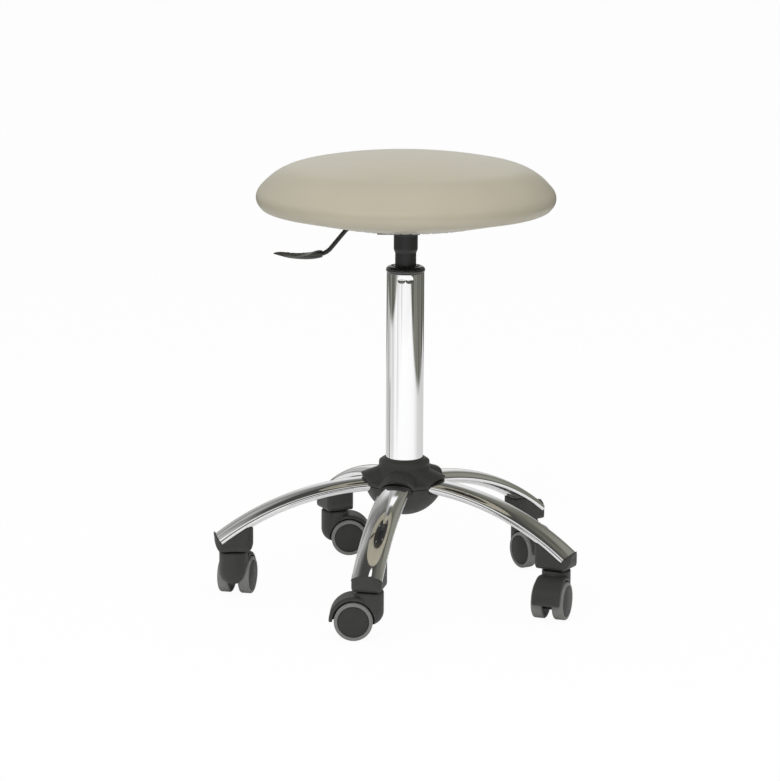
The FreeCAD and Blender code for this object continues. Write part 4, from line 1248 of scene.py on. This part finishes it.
@dataclass
class Caster:
    """Twin-wheel caster: moulded hood, steel axle, two domed discs and two soft treads."""

    number: int
    near: float = 6.8 * MM
    width: float = 15 * MM
    rim: float = 20.4 * MM
    outer: float = 25 * MM
    dome: float = 2.6 * MM
    dome_inset: float = 1.2 * MM
    dome_steps: int = 14
    groove: float = 0.5 * MM
    groove_inner: float = 0.9 * MM
    groove_outer: float = 0.5 * MM
    step: float = 0.25 * MM
    bevel: float = 0.3 * MM
    curl: float = 2.0 * MM
    tread_gap: float = 0.05 * MM
    heel: float = 0.3 * MM
    toe: float = 0.8 * MM
    corner_steps: int = 5
    segments: int = 112
    voxel: float = 0.8 * MM
    passes: int = 6

    def build(self) -> None:
        """Rounds the hood and turns the wheels."""
        body = f"caster_{self.number}"
        hood = Shell(f"{body}_hood", self.voxel, self.passes)
        hood.add(f"caster_hood_shell_{self.number}", BLACK_PLASTIC, body)
        Piece.dress(STEEL, f"{body}_axle")
        for side in Side:
            self._wheel(side)

    def _wheel(self, side: Side) -> None:
        """Adds one wheel's disc and tread.

        Args:
            side: which of the two wheels.
        """
        place = self._place(side)
        tag = f"{self.number}_{side.word}"
        parts = (
            ("wheel_disc", self._disc_section(), False, WHEEL_PLASTIC, "wheel"),
            ("wheel_tread", self._tread_section(), True, GREY_TREAD, "tread"),
        )
        for stem, section, closed, finish, word in parts:
            name = f"{stem}_{tag}"
            mesh = Shape.lathe(name, section, self.segments, closed)
            mesh.transform(place)
            Piece.add(name, mesh, finish, f"wheel_{tag}", (f"caster_{self.number}_{word}_{side.word}",))

    def _place(self, side: Side) -> Matrix:
        """Moves a wheel turned about Z onto its axle, facing out.

        Args:
            side: which of the two wheels.

        Returns:
            The matrix.
        """
        wanted = f"wheel_{self.number}_{side.word}_roll"
        joint = next(j for j in frame["joints"] if j["name"] == wanted)
        out = Vector(joint["axis"]) * side.value
        turn = Vector((0, 0, 1)).rotation_difference(out).to_matrix().to_4x4()
        return Matrix.Translation(Vector(joint["pos_m"])) @ turn

    def _disc_section(self) -> list[Point]:
        """Domed face with a fine groove round it, and a plain back.

        Returns:
            (radius, height) points from the face's middle to the back's.
        """
        face = self.near + self.width - self.curl / 2
        bow = (self.rim * self.rim + self.dome * self.dome) / (2 * self.dome)
        edge = math.degrees(math.asin((self.rim - self.dome_inset) / bow))
        dome = Shape.arc((0, face + self.dome - bow), bow, 90, 90 - edge, self.dome_steps)
        sunk = dome[-1][1] - self.groove
        rest = face - self.step
        return dome + [
            (self.rim - self.groove_inner, sunk), (self.rim - self.groove_outer, sunk),
            (self.rim - self.bevel, rest), (self.rim, rest - self.bevel),
            (self.rim, self.near), (0, self.near),
        ]

    def _tread_section(self) -> list[Point]:
        """Soft tread with rounded shoulders.

        Returns:
            (radius, height) points of the closed section.
        """
        far = self.near + self.width
        inner = self.rim + self.tread_gap
        corners = (
            ((inner + self.heel, self.near + self.heel), self.heel, 180),
            ((self.outer - self.curl, self.near + self.curl), self.curl, 270),
            ((self.outer - self.curl, far - self.curl), self.curl, 0),
            ((inner + self.toe, far - self.toe), self.toe, 90),
        )
        return [
            point for centre, radius, start in corners
            for point in Shape.arc(centre, radius, start, start + 90, self.corner_steps)
        ]


class Patch(Enum):
    """Areas of the studio that mirrors show, laid on in this order: colour, share and soft edges."""

    BACKDROP = ((0.8, 0.8, 0.8), 1.0, (
        Span("y", 0.0, 0.4), Span("z", 0.62, 0.42), Span("x", 0.32, 0.1), Span("x", -0.34, -0.1),
    ))
    WALL = ((0.30, 0.30, 0.26), 0.8, (
        Span("y", 0.0, 0.4), Span("x", 0.3, 0.5), Span("z", 0.22, 0.4), Span("z", 0.85, 0.65),
    ))
    GLOOM = ((0.04, 0.04, 0.035), 1.0, (Span("y", 0.4, 0.0), Span("z", 0.34, 0.06)))
    CEILING = ((0.06, 0.06, 0.055), 1.0, (Span("z", 0.72, 0.9), Span("x", 0.4, 0.05, 0.4)))
    # Painted highlights: STRIP and LAMP are brighter than white and show only in reflections. They stand in
    # for the front key light and the overhead softbox, which mirrors don't see.
    STRIP = ((1.1, 1.1, 1.1), 1.0, (
        Span("z", 0.56, 0.60), Span("z", 0.72, 0.68), Span("y", -0.25, -0.45),
    ))
    LAMP = ((1.2, 1.2, 1.2), 1.0, (Span("z", 0.9965, 0.999),))


class Lamp(NamedTuple):
    """A square softbox: where it hangs, what it faces, its width and its power in watts."""

    name: str
    spot: Place
    target: Place
    size: float
    power: float


@dataclass
class Stage:
    """Floor, light and camera."""

    distance: float = 4.5
    height: float = 1.2252
    pitch: float = 11.898
    yaw: float = -0.251
    roll: float = 0.342
    focal_pixels: float = 3443.5
    frame_pixels: int = 781
    sensor: float = 36.0
    floor_drop: float = 0.6 * MM
    floor_half: float = 14.0
    floor_tones: tuple[Colour, Colour] = ((0.09, 0.09, 0.075), (0.34, 0.34, 0.30))
    paper: tuple[Span, ...] = (
        Span("x", -2.05, -1.85), Span("x", 1.42, 1.22), Span("y", 1.6, 1.4), Span("y", -1.95, -1.6, 0.85),
    )
    paper_tone: Colour = (0.94, 0.94, 0.94)
    streak: float = 0.16
    streak_edges: Point = (0.35, 0.65)
    frayed: Point = (-0.45, -0.9)
    frayed_share: float = 0.5
    # ring, dim, line and shine: painted shade, a thin dark line and a painted glow on the paper, seen only in
    # mirrors.
    ring: Point = (0.45, 0.8)
    dim: Point = (-0.6, 0.4)
    dim_lean: float = 0.25
    dim_share: float = 0.4
    line: tuple[Span, ...] = (
        Span("along", 0.1, 0.18), Span("along", 0.34, 0.26), Span("across", -0.5, -0.7),
        Span("far", 1.5, 1.3),
    )
    line_share: float = 0.9
    shine_share: float = 0.55
    shine_tone: Colour = (1.15, 1.15, 1.15)
    seen_share: float = 0.95
    white: Colour = (1.0, 1.0, 1.0)
    lamps: tuple[Lamp, ...] = (
        Lamp("overhead", (-0.2, -0.3, 3.4), (0, 0, 0.4), 3.0, 22.0),
        Lamp("front_key", (-0.5, -2.9, 3.0), (0, 0, 0.5), 1.6, 46.0),
    )
    walls: tuple[tuple[float, Colour], ...] = (
        (0.0, (0.62, 0.62, 0.61)), (0.28, (0.52, 0.52, 0.51)), (0.46, (0.20, 0.20, 0.19)),
        (0.6, (0.18, 0.18, 0.15)), (1.0, (0.27, 0.27, 0.22)),
    )
    clutter: float = 0.35
    clutter_edges: tuple[float, float, float] = (0.3, 0.62, 0.4)
    murk: Colour = (0.04, 0.04, 0.035)
    room: Colour = (0.62, 0.62, 0.62)

    def build(self) -> None:
        """Sets the whole stage."""
        self._camera()
        self._floor()
        self._lights()
        self._world()
        bpy.context.scene.view_settings.view_transform = "Standard"

    def _camera(self) -> None:
        """Places the camera as the photograph was taken."""
        pitch, yaw, roll = (math.radians(a) for a in (self.pitch, self.yaw, self.roll))
        level = math.cos(pitch)
        ahead = Vector((math.sin(yaw) * level, math.cos(yaw) * level, -math.sin(pitch)))
        right = Vector((math.cos(yaw), -math.sin(yaw), 0))
        up = right.cross(ahead)
        side = right * math.cos(roll) + up * math.sin(roll)
        top = up * math.cos(roll) - right * math.sin(roll)
        data = bpy.data.cameras.new("camera")
        data.sensor_width = self.sensor
        data.lens = self.focal_pixels * self.sensor / self.frame_pixels
        made = Shape.link("camera", data)
        turn = Matrix((side, top, -ahead)).transposed().to_4x4()
        made.matrix_world = Matrix.Translation((0, -self.distance, self.height)) @ turn
        bpy.context.scene.camera = made

    def _floor(self) -> None:
        """Adds the floor: white to the camera, paper on a grey floor to all else, clear from below."""
        half, level = self.floor_half, -self.floor_drop
        mesh = bpy.data.meshes.new("studio_floor")
        corners = [(-half, -half, level), (half, -half, level), (half, half, level), (-half, half, level)]
        mesh.from_pydata(corners, [], [(0, 1, 2, 3)])
        material = bpy.data.materials.new("studio_floor")
        material.use_nodes = True
        self._paint_floor(Graph(material.node_tree))
        mesh.materials.append(material)
        Shape.link("studio_floor", mesh)

    def _paint_floor(self, graph: Graph) -> None:
        """Lays out the paper, the floor round it and what mirrors show of both, with painted shade and a
        painted glow on the paper that only mirrors see.

        Args:
            graph: the floor material's nodes.
        """
        place = graph.value("ShaderNodeTexCoord", out="Object")
        bearing = graph.value("ShaderNodeVectorMath", {"operation": "NORMALIZE"}, {"Vector": place}, "Vector")
        far = graph.value("ShaderNodeVectorMath", {"operation": "LENGTH"}, {"Vector": place}, "Value")
        x, y, _ = graph.axes(place)
        across, along, _ = graph.axes(bearing)
        axes = {"x": x, "y": y, "across": across, "along": along, "far": far}
        streak = graph.ease(graph.speckle(bearing, self.streak), *self.streak_edges)
        frayed = graph.ease(x, *self.frayed) * (1 - streak) * self.frayed_share
        ring = self._mirrored(graph) * graph.ease(far, *self.ring)
        # Painted shade: to mirrored rays, the paper more than about 0.8 m from the column is dimmed at some
        # bearings and gets a thin dark line, so the chrome shows darker edges and a dark streak.
        dim = graph.ease(along + across * self.dim_lean, *self.dim) * self.dim_share
        dim = dim.at_least(graph.area(axes, self.line) * self.line_share)
        paper = graph.area(axes, self.paper) * (1 - frayed) * (1 - ring * dim)
        seen = self._seen(graph)
        around = graph.blend(streak, *self.floor_tones)
        tone = graph.blend(paper.at_least(seen), around, self.paper_tone)
        diffuse = graph.value("ShaderNodeBsdfDiffuse", None, {"Color": tone})
        # Painted reflection: to mirrored rays, the paper more than about 0.8 m from the column glows a little
        # brighter than white, so the chrome's lower edges show a bright band.
        white = graph.blend(self._mirrored(graph), self.white, self.shine_tone)
        glow = graph.value("ShaderNodeEmission", None, {"Color": white, "Strength": 1.0})
        shine = ring * (1 - dim) * paper * self.shine_share
        above = graph.mixed((seen * self.seen_share).at_least(shine), diffuse, glow)
        below = graph.value("ShaderNodeNewGeometry", out="Backfacing")
        surface = graph.mixed(below, above, graph.value("ShaderNodeBsdfTransparent"))
        graph.node("ShaderNodeOutputMaterial", None, {"Surface": surface})

    @staticmethod
    def _seen(graph: Graph) -> Value:
        """1 for what the camera sees, straight or through something clear, and 0 for all other rays."""
        straight = graph.value("ShaderNodeLightPath", out="Is Camera Ray")
        return straight.at_least(graph.value("ShaderNodeLightPath", out="Is Transmission Ray"))

    @staticmethod
    def _mirrored(graph: Graph) -> Value:
        """1 for rays that come off a shiny surface and 0 for all other rays."""
        return graph.value("ShaderNodeLightPath", out="Is Glossy Ray")

    def _lights(self) -> None:
        """Adds the overhead softbox and the key light in front, both hidden from mirrors."""
        for name, spot, target, size, power in self.lamps:
            data = bpy.data.lights.new(name, "AREA")
            data.shape = "SQUARE"
            data.size = size
            data.energy = power
            lamp = Shape.link(name, data)
            lamp.location = spot
            lamp.rotation_euler = (Vector(target) - Vector(spot)).to_track_quat("-Z", "Y").to_euler()
            lamp.visible_glossy = False

    def _world(self) -> None:
        """White behind the object, an even room for light, and for mirrors a studio with its lamps."""
        world = bpy.data.worlds.new("studio")
        world.use_nodes = True
        bpy.context.scene.world = world
        graph = Graph(world.node_tree)
        way = graph.value("ShaderNodeTexCoord", out="Generated")
        axes = dict(zip("xyz", graph.axes(way)))
        rightward = {"Fac": axes["x"] * 0.5 + 0.5}
        walls = graph.value("ShaderNodeValToRGB", {"stops": self.walls}, rightward, "Color")
        clutter = graph.ease(graph.speckle(way, self.clutter, 2.0), *self.clutter_edges)
        studio = graph.blend(clutter, self.murk, walls)
        for patch in Patch:
            colour, share, spans = patch.value
            studio = graph.blend(graph.area(axes, spans) * share, studio, colour)
        even = graph.blend(self._mirrored(graph), self.room, studio)
        shown = graph.blend(self._seen(graph), even, self.white)
        background = graph.value("ShaderNodeBackground", None, {"Color": shown, "Strength": 1.0})
        graph.node("ShaderNodeOutputWorld", None, {"Surface": background})


def main() -> None:
    """Builds every sub-assembly."""
    logging.basicConfig(level=logging.INFO, format="%(message)s")
    casters = [Caster(number) for number in range(1, ARMS + 1)]
    fixed = [Stage(), Cushion(), SeatUnderside(), ReleaseLever(), GasColumn(), Hub(), StarBase()]
    for assembly in fixed + casters:
        LOG.info("building %s", type(assembly).__name__)
        assembly.build()


if __name__ == "__main__":
    main()
